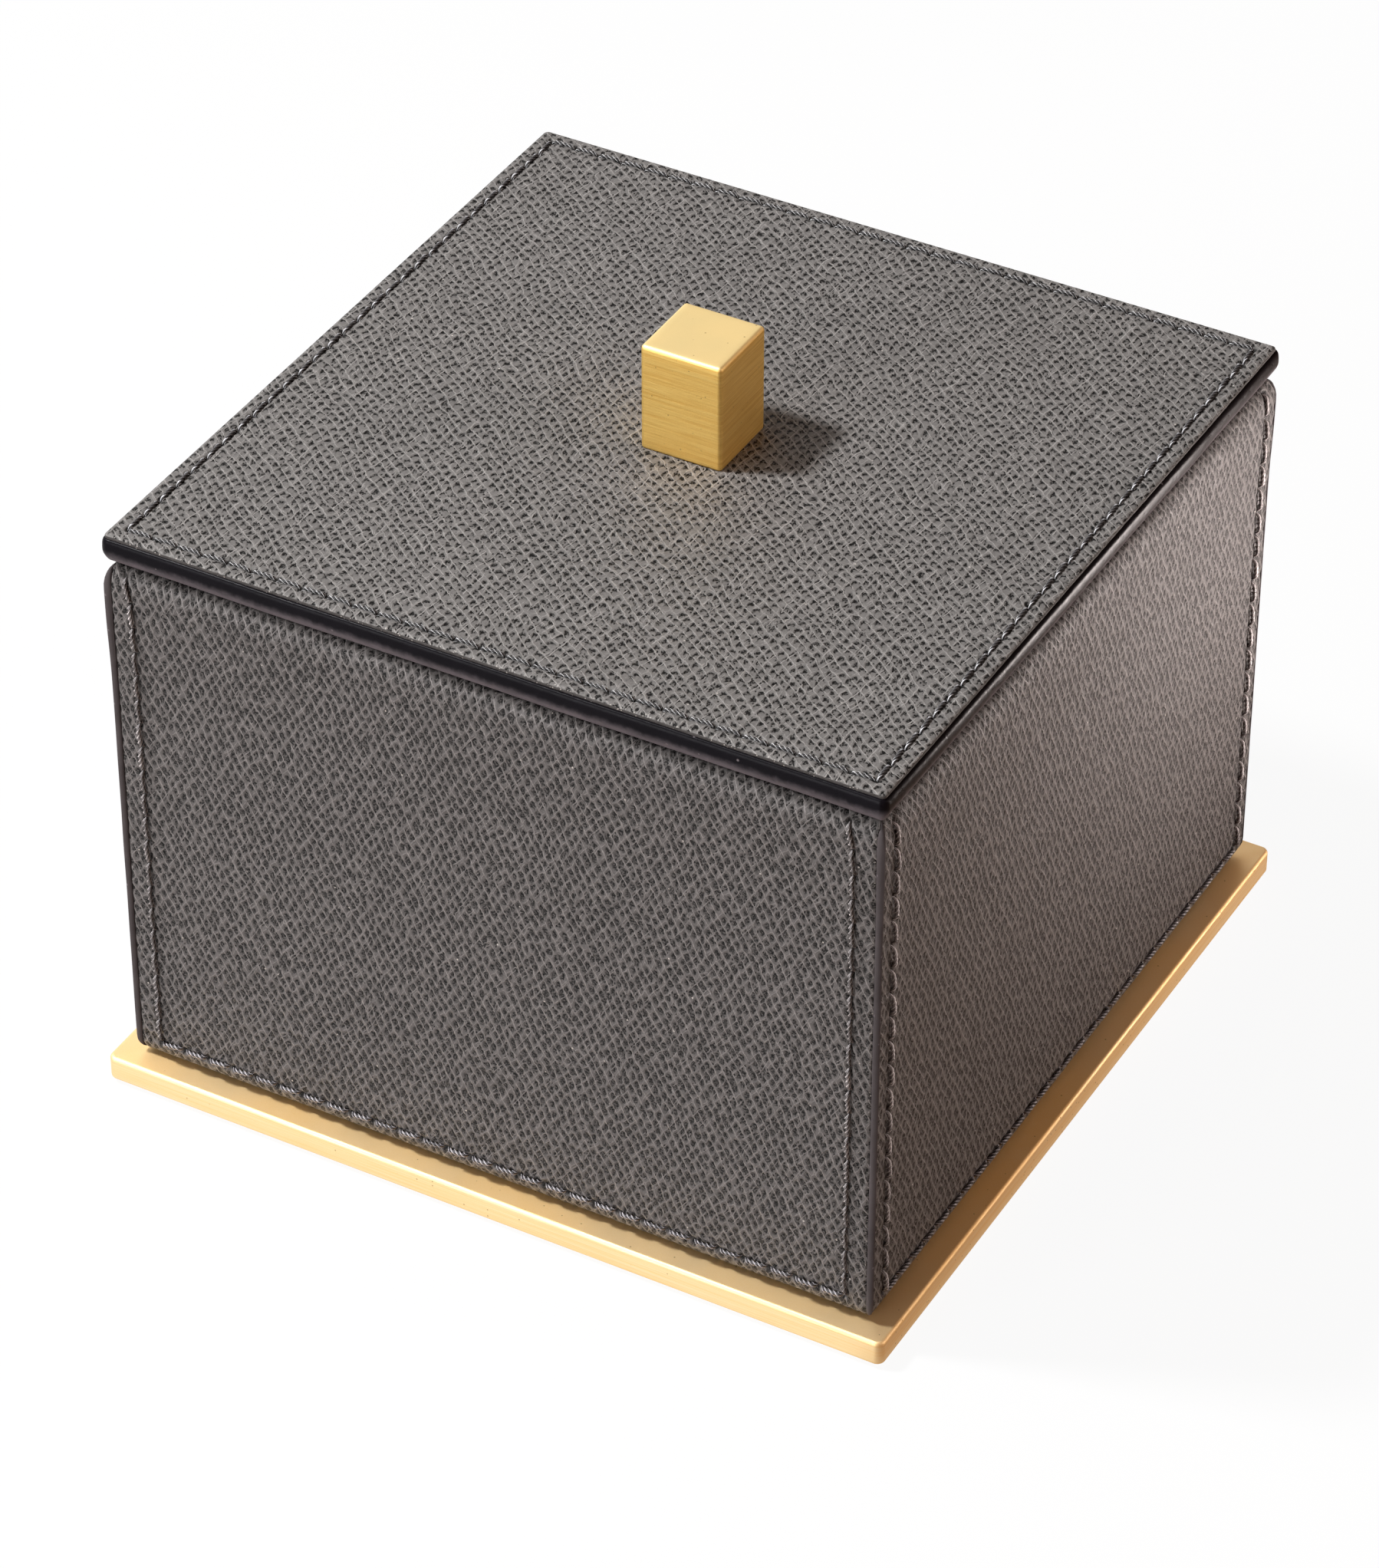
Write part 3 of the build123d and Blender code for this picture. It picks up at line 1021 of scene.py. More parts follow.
@dataclass(frozen=True)
class ThreadFinish(Finish):
    """Waxed linen thread laid up in three plies."""

    tone: Colour = (0.60, 0.565, 0.59)
    # Painted shade in the grooves between the plies.
    groove: Colour = (0.040, 0.036, 0.038)
    # Colour of the ends near the holes: a painted glint on the shaded side rows, painted shade on the
    # uprights.
    ends: Colour = (0.60, 0.565, 0.59)
    fibre: float = 0.18 * MM
    relief_depth: float = 0.10 * MM

    def dress(self, surface: Surface, bench: Bench) -> None:
        """Paints shade into the grooves between the plies and its own colour on the ends near the
        holes, and roughens them with fibres.
        """
        around, along = list(bench.parts(surface.flat_place()))[:2]
        phase = bench.math("ABSOLUTE", bench.math("SUBTRACT", bench.math("FRACT", around), 0.5))
        near_hole = bench.fade(bench.math("ABSOLUTE", along), 0.35, 0.6)
        crown = bench.fade(phase, 0.14, 0.40)
        fibres = surface.fuzz(surface.place(), self.fibre, 3.0, 0.65)
        # Painted light: shade between the plies and the ends' painted colour near the holes.
        colour = bench.blend(crown, self.groove, bench.blend(near_hole, self.tone, self.ends))
        colour = bench.shade(colour, bench.fade(fibres, 0.3, 0.75, 0.7, 1.5))
        surface.set(Base_Color=colour, Roughness=bench.fade(fibres, 0.3, 0.7, 0.34, 0.55))
        surface.relief(bench.math("MULTIPLY_ADD", fibres, 0.35, crown), self.relief_depth)


@dataclass(frozen=True)
class NapFinish(Finish):
    """Suede or felt: a short nap that lies in patches, with a soft sheen."""

    tone: Colour
    nap: float = 0.35 * MM
    patch: float = 11 * MM
    patchiness: float = 0.22
    sheen: float = 0.5
    relief_depth: float = 0.18 * MM

    def dress(self, surface: Surface, bench: Bench) -> None:
        """Shades the nap's fibres and patches."""
        place = surface.place()
        patches = surface.patches(place, self.patch, self.patchiness)
        fibres = surface.fuzz(place, self.nap, 4.0, 0.7)
        shade = bench.times(patches, bench.fade(fibres, 0.25, 0.75, 0.72, 1.28))
        surface.set(
            Base_Color=bench.shade(self.tone, shade),
            Roughness=0.95,
            Sheen_Weight=self.sheen,
            Sheen_Roughness=0.5,
            Specular_IOR_Level=0.15,
        )
        surface.relief(fibres, self.relief_depth)


@dataclass(frozen=True)
class BoardFinish(Finish):
    """Pressed fibreboard, as the boards show where nothing covers them."""

    name: str = "fibreboard"
    tone: Colour = (0.36, 0.25, 0.15)
    fleck: float = 0.8 * MM
    patch: float = 15 * MM
    relief_depth: float = 0.1 * MM

    def dress(self, surface: Surface, bench: Bench) -> None:
        """Shades the flecks and patches of the pressed fibre."""
        place = surface.place()
        flecks = surface.fuzz(place, self.fleck, 4.0, 0.7)
        patches = surface.patches(place, self.patch, 0.15)
        shade = bench.times(patches, bench.fade(flecks, 0.3, 0.7, 0.75, 1.2))
        surface.set(Base_Color=bench.shade(self.tone, shade), Roughness=0.8)
        surface.relief(flecks, self.relief_depth)


@dataclass(frozen=True)
class SteelFinish(Finish):
    """Zinc-plated steel with turning marks."""

    name: str = "plated_steel"
    tone: Colour = (0.58, 0.58, 0.60)
    length: float = 2 * MM
    width: float = 0.12 * MM
    relief_depth: float = 0.01 * MM

    def dress(self, surface: Surface, bench: Bench) -> None:
        """Lays turning marks over the plating."""
        place = surface.place()
        given = {"Vector": place, "Length": self.length, "Width": self.width}
        lines = BRUSHING.use(bench, given)[0]
        surface.set(
            Base_Color=bench.shade(self.tone, surface.patches(place, self.length, 0.12)),
            Roughness=bench.math("MULTIPLY_ADD", lines, 0.14, 0.26),
            Metallic=1.0,
        )
        surface.relief(lines, self.relief_depth)


class Palette:
    """Every material of the box, built once."""

    def __init__(self) -> None:
        """Builds the materials."""
        self.wall_grain = Grain()
        # The lid's grain shifts each pit's painted lit side far towards the light, for strong painted
        # shade crescents.
        self.lid_grain = Grain(
            pitch=1.62 * MM,
            turn=-36.0,
            wander=0.26,
            cross=0.9,
            lean=(-0.22, 0.40, 0.0),
            core=0.40,
        )
        self.wall_leather = LeatherFinish("wall_leather_pebbled", self.wall_grain).material()
        # The lid's copy paints the shadow in its seams nearly black.
        self.lid_leather = LeatherFinish(
            "lid_leather_pebbled", self.lid_grain, (0.181, 0.172, 0.165), 0.0, 1.85, 0.07
        ).material()
        # The side panels' copy has weaker painted shade in the pits and weaker painted highlight on
        # the lines, for the softer light on the sides.
        self.side_leather = LeatherFinish(
            "side_leather_pebbled", self.wall_grain, (0.130, 0.122, 0.119), 0.12, 1.8
        ).material()
        self.cut_edge = CutEdgeFinish().material()
        self.paint = PaintFinish().material()
        self.corner_paint = PaintFinish(
            "corner_paint", (0.080, 0.070, 0.072), (0.080, 0.070, 0.072), gloss=0.4, dust_share=0.20
        ).material()
        self.knob_brass = BrassFinish("knob_brass").material()
        self.plate_brass = BrassFinish(
            "plate_brass", 26 * MM, 0.22 * MM, (0.96, 0.76, 0.46), (0.90, 0.63, 0.28)
        ).material()
        # One thread in copies of painted light: paler on the lid's front and back rows and the
        # uprights, shaded on the lid's side rows with painted glints at their ends.
        self.thread = ThreadFinish("waxed_thread").material()
        self.lid_thread = ThreadFinish(
            "lid_thread", (0.80, 0.79, 0.80), (0.02, 0.018, 0.019), (0.80, 0.79, 0.80)
        ).material()
        self.side_thread = ThreadFinish(
            "side_thread", (0.17, 0.16, 0.162), (0.01, 0.009, 0.01), (0.75, 0.74, 0.76)
        ).material()
        self.upright_thread = ThreadFinish(
            "upright_thread", (0.80, 0.74, 0.73), (0.17, 0.155, 0.155), (0.66, 0.61, 0.60)
        ).material()
        self.suede = NapFinish("grey_suede", (0.105, 0.092, 0.083)).material()
        self.felt = NapFinish(
            "black_felt", (0.018, 0.018, 0.019), nap=0.5 * MM, sheen=0.3
        ).material()
        self.board = BoardFinish().material()
        self.steel = SteelFinish().material()


# Geometry trees


def tree_with(name: str, entries: dict[str, str]) -> tuple[Bench, Outputs]:
    """Starts a geometry tree.

    Args:
        name: The tree's name.
        entries: Its inputs after the geometry, with their socket kinds.

    Returns:
        The tree's bench and what its inputs give.
    """
    tree = bpy.data.node_groups.new(name, "GeometryNodeTree")
    declare(tree, {"Geometry": "Geometry", **entries}, {"Geometry": "Geometry"})
    bench = Bench(tree)
    return bench, bench.add("NodeGroupInput").outputs


def apply_tree(
    piece: bpy.types.Object, tree: bpy.types.NodeTree, values: dict[str, object]
) -> None:
    """Runs a geometry tree on a piece and keeps the result as its plain mesh.

    Args:
        piece: The piece that carries the tree's starting geometry.
        tree: The tree.
        values: The tree's inputs by name.
    """
    modifier = piece.modifiers.new(tree.name, "NODES")
    modifier.node_group = tree
    for entry in tree.interface.items_tree:
        if entry.item_type == "SOCKET" and entry.in_out == "INPUT" and entry.name in values:
            modifier[entry.identifier] = values[entry.name]
    piece.update_tag()
    graph = bpy.context.evaluated_depsgraph_get()
    graph.update()
    mesh = bpy.data.meshes.new_from_object(
        piece.evaluated_get(graph), preserve_all_data_layers=True, depsgraph=graph
    )
    piece.modifiers.clear()
    spent = piece.data
    piece.data = mesh
    mesh.name = piece.name
    bpy.data.meshes.remove(spent)


class LeatherTree:
    """Presses the pebbled grain and a slow unevenness into a skin."""

    def __init__(self) -> None:
        """Builds the tree."""
        entries = {
            "Depth": "Float",
            "Unevenness": "Float",
            **GRAIN_SOCKETS,
            "Leather": "Material",
            "Cut Edge": "Material",
        }
        bench, given = tree_with("embossed_leather", entries)
        self.tree = bench.tree
        place = bench.attribute(UV_NAME, "FLOAT_VECTOR")
        values = {"Vector": place, **{key: given[key] for key in GRAIN_SOCKETS}}
        grain = PEBBLES.use(bench, values, TreeKind.GEOMETRY)
        amount = bench.attribute(Region.GRAIN.value, "FLOAT")
        pressed = bench.math("MULTIPLY_ADD", grain["Pit"], -1.0, 0.35)
        pressed = bench.times(pressed, bench.times(amount, given["Depth"]))
        slow = bench.noise(bench.add("GeometryNodeInputPosition").outputs[0], 55.0, 1.0)
        swell = bench.times(bench.math("SUBTRACT", slow, 0.5), given["Unevenness"], amount)
        normal = bench.add("GeometryNodeInputNormal").outputs[0]
        offset = bench.vector("SCALE", normal, scale=bench.math("ADD", pressed, swell))
        shape = {"Geometry": given["Geometry"], "Offset": offset}
        moved = bench.add("GeometryNodeSetPosition", shape).outputs[0]
        real = bench.add("GeometryNodeRealizeInstances", {0: moved}).outputs[0]
        face = {"Geometry": real, "Material": given["Leather"]}
        cut = {
            "Geometry": bench.add("GeometryNodeSetMaterial", face).outputs[0],
            "Selection": bench.attribute(Region.CUT_FACE.value, "BOOLEAN"),
            "Material": given["Cut Edge"],
        }
        finished = bench.add("GeometryNodeSetMaterial", cut).outputs[0]
        bench.add("NodeGroupOutput", {0: finished})

    def press(
        self,
        piece: bpy.types.Object,
        grain: Grain,
        depth: float,
        leather: Material,
        cut_edge: Material,
    ) -> None:
        """Embosses one piece.

        Args:
            piece: The plain skin.
            grain: How its pebbling runs.
            depth: Height from pit to raised line.
            leather: Material of its face.
            cut_edge: Material of its cut faces.
        """
        values = {
            "Depth": depth,
            "Unevenness": 0.22 * MM,
            **grain.values(),
            "Leather": leather,
            "Cut Edge": cut_edge,
        }
        apply_tree(piece, self.tree, values)


@dataclass
class Stitching:
    """Saddle stitches along rows of holes."""

    pitch: float = STITCH_PITCH
    thread: float = 0.46 * MM
    rise: float = 0.38 * MM
    sink: float = 0.60 * MM
    fill: float = 0.90
    turns: float = 1.6
    rings: int = 20
    plies: int = 3
    slant: float = 4.0
    sway: float = 2.5
    taper: float = 0.30
    least: tuple[float, float, float] = (0.97, 0.92, 0.88)
    most: tuple[float, float, float] = (1.02, 1.08, 1.12)
    seed: int = 11

    def stitch(self) -> bpy.types.Object:
        """One stitch: three plies twisted together, its ends going down into the holes.

        Returns:
            The stitch, along X with Z away from the leather.
        """
        along = np.linspace(-1.0, 1.0, self.rings)
        drop = along**6
        x = along * self.pitch * self.fill / 2
        z = self.rise - (self.rise + self.sink) * drop
        radius = self.thread * (1.0 - self.taper * drop)
        ply = np.arange(self.plies)
        angle = 2 * math.pi * (ply[None, :] / self.plies + self.turns * (along[:, None] + 1) / 2)
        points = np.stack(
            [
                np.repeat(x[:, None], self.plies, axis=1),
                radius[:, None] * np.cos(angle),
                z[:, None] + radius[:, None] * np.sin(angle),
            ],
            axis=-1,
        ).reshape(-1, 3)
        here, following = ply, (ply + 1) % self.plies
        quads, corners = [], []
        for ring in range(self.rings - 1):
            low, high = ring * self.plies, (ring + 1) * self.plies
            ring_quads = [low + here, high + here, high + following, low + following]
            quads.append(np.stack(ring_quads, axis=1))
            v0, v1 = along[ring], along[ring + 1]
            corners += [[(k, v0), (k, v1), (k + 1, v1), (k + 1, v0)] for k in range(self.plies)]
        last = (self.rings - 1) * self.plies
        ends = [list(ply), list((last + ply)[::-1])]
        mesh = Skin(points, np.concatenate(quads), ends).mesh("stitch")
        layer = mesh.uv_layers.new(name=UV_NAME)
        flat = np.array(corners, float).reshape(-1, 2)
        flat = np.concatenate([flat, np.full((2 * self.plies, 2), 0.5)])
        layer.data.foreach_set("uv", flat.astype(np.float32).ravel())
        return link("stitch", mesh)

    def tree(self) -> bpy.types.NodeTree:
        """Builds the tree that lays stitches along rows.

        Returns:
            The tree.
        """
        entries = {
            "Stitch": "Object",
            "Pitch": "Float",
            "Slant": "Float",
            "Sway": "Float",
            "Seed": "Int",
            "Thread": "Material",
        }
        bench, given = tree_with("saddle_stitches", entries)
        curve = bench.add("GeometryNodeMeshToCurve", {0: given["Geometry"]})
        spaced = bench.add(
            "GeometryNodeResampleCurve",
            {"Curve": curve.outputs[0], "Length": given["Pitch"]},
            mode="LENGTH",
        )
        tangent = bench.add("GeometryNodeInputTangent").outputs[0]
        laid_flat = bench.add(
            "FunctionNodeAxesToRotation",
            {0: tangent, 1: bench.attribute("outward", "FLOAT_VECTOR")},
            primary_axis="X",
            secondary_axis="Z",
        )
        least = bench.times(given["Sway"], -1.0)
        sway = {"Min": least, "Max": given["Sway"], "Seed": given["Seed"]}
        sway = bench.add("FunctionNodeRandomValue", sway, data_type="FLOAT")
        lean = bench.math("ADD", given["Slant"], self._number(sway))
        tilt = bench.add("ShaderNodeCombineXYZ", {2: lean}).outputs[0]
        turn = bench.add("FunctionNodeEulerToRotation", {0: tilt}).outputs[0]
        turned = bench.add(
            "FunctionNodeRotateRotation",
            {0: laid_flat.outputs[0], 1: turn},
            rotation_space="LOCAL",
        )
        shape = bench.add("GeometryNodeObjectInfo", {"Object": given["Stitch"]})
        size = {"Min": self.least, "Max": self.most, "Seed": given["Seed"]}
        size = bench.add("FunctionNodeRandomValue", size, data_type="FLOAT_VECTOR")
        laid = {
            "Points": spaced.outputs[0],
            "Instance": shape.outputs["Geometry"],
            "Rotation": turned.outputs[0],
            "Scale": size.outputs[0],
        }
        laid = bench.add("GeometryNodeInstanceOnPoints", laid).outputs[0]
        real = bench.add("GeometryNodeRealizeInstances", {0: laid}).outputs[0]
        clad = bench.add("GeometryNodeSetMaterial", {0: real, "Material": given["Thread"]})
        bench.add("NodeGroupOutput", {0: clad.outputs[0]})
        return bench.tree

    @staticmethod
    def _number(node: bpy.types.Node) -> Socket:
        """The number that a random value node puts out."""
        return next(s for s in node.outputs if s.enabled and s.type == "VALUE")

    def sew(
        self, name: str, rows: Sequence["SeamRow"], body: Body, thread: Material
    ) -> None:
        """Lays the stitches of some rows as one piece.

        Args:
            name: The piece's name.
            rows: The rows, in place.
            body: The body that carries them.
            thread: The thread's material.
        """
        points, edges, outward = [], [], []
        for row in rows:
            start = sum(len(p) for p in points)
            points.append(row.middles())
            outward.append(np.repeat(row.outward[None, :], row.count, axis=0))
            edges += [(start + i, start + i + 1) for i in range(row.count - 1)]
        mesh = bpy.data.meshes.new(name)
        mesh.from_pydata(np.concatenate(points).tolist(), edges, [])
        attribute = mesh.attributes.new("outward", "FLOAT_VECTOR", "POINT")
        attribute.data.foreach_set("vector", np.concatenate(outward).astype(np.float32).ravel())
        piece = link(name, mesh)
        shape = self.stitch()
        values = {
            "Stitch": shape,
            "Pitch": min(row.pitch() for row in rows) * 0.97,
            "Slant": math.radians(self.slant),
            "Sway": math.radians(self.sway),
            "Seed": self.seed,
            "Thread": thread,
        }
        apply_tree(piece, self.tree(), values)
        bpy.data.objects.remove(shape)
        settle(piece, body)


@dataclass(frozen=True)
class SeamRow:
    """A row of holes on one face, given by its holes and the way out of the leather."""

    holes: Array
    outward: Array

    @property
    def count(self) -> int:
        """How many stitches the row has."""
        return len(self.holes) - 1

    def middles(self) -> Array:
        """The places halfway between holes."""
        return (self.holes[1:] + self.holes[:-1]) / 2

    def pitch(self) -> float:
        """The distance between holes."""
        return float(np.linalg.norm(np.diff(self.holes, axis=0), axis=1).mean())


# Walls


@dataclass
class WallSection:
    """Section of a leather-covered wall: depth outwards from the wall's flat, and height."""

    half: float = 74.5 * MM
    leather: float = 1.2 * MM
    board: float = 5.0 * MM
    foot_round: float = 3.4 * MM
    swell: float = 0.25 * MM
    swell_height: float = 26.0 * MM
    round_width: float = 1.8 * MM
    round_height: float = 4.5 * MM
    inner_round: float = 0.7 * MM
    fullness: float = 0.45
    plate_top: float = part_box("base_plate")[1].z
    rim_top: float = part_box("front_cover")[1].z
    lining_top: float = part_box("front_lining")[1].z

    def outline(self) -> Array:
        """Dense points of the leather's outer side, from under the foot to the turn-in's end.

        Returns:
            Depth and height of each point.
        """
        inside = -(self.leather + self.board)
        skin = inside - self.leather
        low, top = self.plate_top, self.rim_top
        swell_start, swell_end = top - self.swell_height, top - self.round_height
        pull = (swell_end - swell_start) / 2
        round_end = self.swell - self.round_width
        foot = self.foot_round
        swelling = [
            (0, swell_start),
            (0, swell_start + pull),
            (self.swell, swell_end - pull),
            (self.swell, swell_end),
        ]
        rounding = [
            (self.swell, swell_end),
            (self.swell, top - self.round_height * self.fullness),
            (round_end + self.round_width * self.fullness, top),
            (round_end, top),
        ]
        runs = [
            np.linspace((inside, low), (-foot, low), 20),
            arc((-foot, low + foot), foot, -90, 0, 40),
            np.linspace((0, low + foot), (0, swell_start), 200),
            bezier(swelling, 120),
            bezier(rounding, 80),
            np.linspace((round_end, top), (skin + self.inner_round, top), 30),
            arc((skin + self.inner_round, top - self.inner_round), self.inner_round, 90, 180, 24),
            np.linspace((skin, top - self.inner_round), (skin, self.lining_top), 40),
        ]
        return np.concatenate([runs[0], *[run[1:] for run in runs[1:]]])

    def outer_face(self, u: Array) -> Array:
        """Which depths belong to the outer face, from the foot's round upwards."""
        return u > -self.foot_round * 1.01

    def inner_height(self, z: Array) -> Array:
        """Heights on the leather's flesh side for heights on its face."""
        return np.clip(z, self.plate_top + self.leather, self.rim_top - self.leather)

    def sample(self, step: float, fine: float, fine_heights: Sequence[float]) -> dict[str, Array]:
        """Reads the outline at graded lengths.

        Args:
            step: Usual distance between rows.
            fine: Distance near a seam and round the edges.
            fine_heights: Heights of the seams on the outer face.

        Returns:
            Length, depth, height and the two parts of the normal for each row.
        """
        dense = self.outline()
        lengths = np.linalg.norm(np.diff(dense, axis=0), axis=1)
        travelled = np.concatenate([[0.0], np.cumsum(lengths)])
        outer = self.outer_face(dense[:, 0])
        seams = [float(np.interp(h, dense[outer, 1], travelled[outer])) for h in fine_heights]
        foot_end = travelled[np.argmax(outer)]
        rim_start = float(np.interp(self.rim_top - 0.5 * MM, dense[outer, 1], travelled[outer]))
        bends = [foot_end + 1.5 * MM, rim_start, travelled[-1] - 13 * MM]
        s = graded(0.0, travelled[-1], step, fine, [*seams, *bends], 1.6 * MM)
        s = np.concatenate([s[s < foot_end][::3], s[s >= foot_end]])
        ahead = np.minimum(s + 0.05 * MM, travelled[-1])
        behind = np.maximum(s - 0.05 * MM, 0.0)
        here, after, before = (
            [np.interp(places, travelled, dense[:, axis]) for axis in (0, 1)]
            for places in (s, ahead, behind)
        )
        u, z = here
        du, dz = after[0] - before[0], after[1] - before[1]
        size = np.hypot(du, dz)
        return {"s": s, "u": u, "z": z, "nu": dz / size, "nz": -du / size}


@dataclass
class Walls:
    """The four leather-covered walls, their painted corner edges and their stitching."""

    section: WallSection = field(default_factory=WallSection)
    step: float = 0.48 * MM
    fine_step: float = 0.25 * MM
    seam_inset: float = 4.1 * MM
    seam_lift: float = 4.3 * MM
    top_hole: float = 1.3 * MM
    grain_depth: float = 0.15 * MM
    groove_depth: float = 0.20 * MM
    groove_width: float = 0.62 * MM
    hole_depth: float = 0.38 * MM
    hole_width: float = 0.5 * MM
    shoulder: float = 0.9 * MM
    shoulder_drop: float = 0.25 * MM
    front_lean: float = -1.3 * MM
    wrinkle_depth: float = 0.09 * MM
    wrinkle_step: float = 1.9 * MM
    wear_width: float = 0.45 * MM
    paint_swell: float = 0.26 * MM

    def ends(self, side: Side, u: Array) -> Array:
        """Half the length of a panel at each depth."""
        reach = self.section.half + u
        return np.minimum(reach, self.section.half - self.section.leather) if side.lapped else reach

    def lean(self, side: Side, z: Array) -> Array:
        """How far the upright seams lean sideways near the rim.

        Args:
            side: The wall.
            z: The heights.

        Returns:
            The shift at each height.
        """
        if side is not Side.FRONT:
            return np.zeros_like(z)
        top = self.section.rim_top
        return self.front_lean * smooth_step(top - 7.5 * MM, top - 1 * MM, z)

    def hole_places(self, side: Side) -> list[Array]:
        """The holes of a panel's three rows, as places along the wall and heights.

        Args:
            side: The wall.

        Returns:
            The left, right and bottom rows.
        """
        reach = self.ends(side, np.zeros(1))[0] - self.seam_inset
        low = self.section.plate_top + self.seam_lift
        high = self.section.rim_top - self.top_hole
        count = int(round((high - low) / STITCH_PITCH))
        z = np.linspace(low, high, count + 1)
        across = int(round(2 * reach / STITCH_PITCH))
        t = np.linspace(-reach, reach, across + 1)
        uprights = [np.stack([sign * reach + self.lean(side, z), z], axis=1) for sign in (-1, 1)]
        return [*uprights, np.stack([t, np.full_like(t, low)], axis=1)]

    def press(
        self, side: Side, t: Array, z: Array, reach: Array
    ) -> tuple[Array, dict[Region, Array]]:
        """What sewing and trimming do to a panel's outer face.

        Args:
            side: The wall.
            t: Place along the wall of each point.
            z: Height of each point.
            reach: Half the panel's length at each point.

        Returns:
            How far each point sinks, and the marks for the materials.
        """
        rows = self.hole_places(side)
        low = rows[2][0, 1]
        inset = reach - self.seam_inset
        shifted = t - self.lean(side, z)
        to_upright = np.abs(np.abs(shifted) - inset)
        to_bottom = np.abs(z - low)
        over = smooth_step(low - 1.2 * MM, low + 0.2 * MM, z)
        inside = 1.0 - smooth_step(-0.2 * MM, 1.2 * MM, np.abs(t) - inset)
        groove = np.maximum(
            bump_of(to_upright, self.groove_width) * over,
            bump_of(to_bottom, self.groove_width) * inside,
        )
        holes = hole_marks(t, z, np.concatenate(rows), self.hole_width)
        to_end = reach - np.abs(t)
        shoulder = (1.0 - np.clip(to_end / self.shoulder, 0, 1)) ** 2
        sunk = self.groove_depth * groove + self.hole_depth * holes + self.shoulder_drop * shoulder
        margin = smooth_step(0.4 * MM, 1.6 * MM, np.maximum(np.abs(shifted) - inset, low - z))
        upright = smooth_step(0.2 * MM, 1.0 * MM, np.abs(shifted) - inset)
        stretched = np.stack([t * 0.25, t * 0.0, z], axis=-1)
        creases = drift(stretched, self.wrinkle_step, 60 + side.value)
        sunk += self.wrinkle_depth * upright * smooth_step(-0.2, 1.2, creases)
        grain = (1.0 - 0.6 * groove) * (1.0 - 0.35 * margin) * smooth_step(0.0, 0.6 * MM, to_end)
        marks = {
            Region.GRAIN: grain,
            # The seam mark paints shadow into the groove and the needle holes.
            Region.SEAM: np.clip(0.30 * groove + 0.9 * holes, 0, 1),
            Region.WEAR: bump_of(to_end, self.wear_width) * (1.0 if side.lapped else 0.15),
        }
        return sunk, marks

    def skin(self, side: Side) -> Skin:
        """The closed skin of one panel.

        Args:
            side: The wall.

        Returns:
            The skin, in place.
        """
        section = self.section
        rows = section.sample(self.step, self.fine_step, [section.plate_top + self.seam_lift])
        reach = self.ends(side, rows["u"])
        widest = self.ends(side, np.zeros(1))[0]
        close = [sign * (widest - inset) for inset in (self.seam_inset, 0.0) for sign in (-1, 1)]
        columns = graded(-widest, widest, self.step, self.fine_step, close, 1.8 * MM)
        t = reach[:, None] * (columns / widest)[None, :]
        z = np.repeat(rows["z"][:, None], len(columns), axis=1)
        wide = np.repeat(reach[:, None], len(columns), axis=1)
        outer = (rows["nu"] > 0.2)[:, None]
        sunk, marks = self.press(side, t, z, wide)
        sunk = np.where(outer, sunk, 0.0)
        rim = smooth_step(0.0, 2 * MM, np.minimum(rows["s"], rows["s"][-1] - rows["s"]))[:, None]
        inner = smooth_step(0, 1 * MM, wide - np.abs(t))
        marks[Region.GRAIN] = np.where(outer, marks[Region.GRAIN], inner) * rim
        for region in (Region.SEAM, Region.WEAR):
            marks[region] = np.where(outer, marks[region], 0.0)
        depth = section.half + rows["u"][:, None] - sunk * rows["nu"][:, None]
        face = np.stack([t, -depth, z - sunk * rows["nz"][:, None]], axis=-1)
        uv = np.stack([t, np.repeat(rows["s"][:, None], len(columns), axis=1)], axis=-1)
        uv += np.array([0.37, 0.21]) * (side.value + 1)
        return self._close(side, rows, reach, face, uv, marks)

    def _close(
        self,
        side: Side,
        rows: dict[str, Array],
        reach: Array,
        face: Array,
        uv: Array,
        marks: dict[Region, Array],
    ) -> Skin:
        """Adds the flesh side and the cut ends to a panel's face.

        Args:
            side: The wall.
            rows: The section's samples.
            reach: Half the panel's length at each row.
            face: The face's points, row by row.
            uv: Their places on the flat leather.
            marks: Their marks for the materials.

        Returns:
            The closed skin, in place.
        """
        section = self.section
        count, across = face.shape[:2]
        back_u = np.clip(rows["u"], -(section.leather + section.board), -section.leather)
        back_z = section.inner_height(rows["z"])
        index = np.arange(count * across).reshape(count, across)
        back, points, back_uv = [], [], []
        for row in range(count):
            if row and back_u[row] == back_u[row - 1] and back_z[row] == back_z[row - 1]:
                back.append(back[-1])
                continue
            back.append(count * across + 2 * (len(points) // 2))
            level = min(reach[row], self.ends(side, back_u[row : row + 1])[0])
            for sign, column in ((-1, 0), (1, -1)):
                points.append((sign * level, -(section.half + back_u[row]), back_z[row]))
                back_uv.append(uv[row, column])
        quads = grid_quads(index)
        others: list[Sequence[int]] = []
        for row in range(count - 1):
            a, b = back[row], back[row + 1]
            left, right = index[row : row + 2, 0], index[row : row + 2, -1]
            if a == b:
                others.append([right[0], a + 1, right[1]])
                others.append([left[0], left[1], a])
            else:
                others.append([right[0], a + 1, b + 1, right[1]])
                others.append([left[0], left[1], b, a])
                others.append([a, b, b + 1, a + 1])
        others.append([*index[0, ::-1], back[0], back[0] + 1])
        others.append([*index[-1, :], back[-1] + 1, back[-1]])
        blank = np.zeros(len(points))
        added = np.arange(len(quads), len(quads) + len(others))
        return Skin(
            side.place(np.concatenate([face.reshape(-1, 3), np.array(points)])),
            quads,
            others,
            uv=np.concatenate([uv.reshape(-1, 2), np.array(back_uv)]),
            marks={key: np.concatenate([value.ravel(), blank]) for key, value in marks.items()},
            cut_faces=added,
            flat_faces=added,
        )

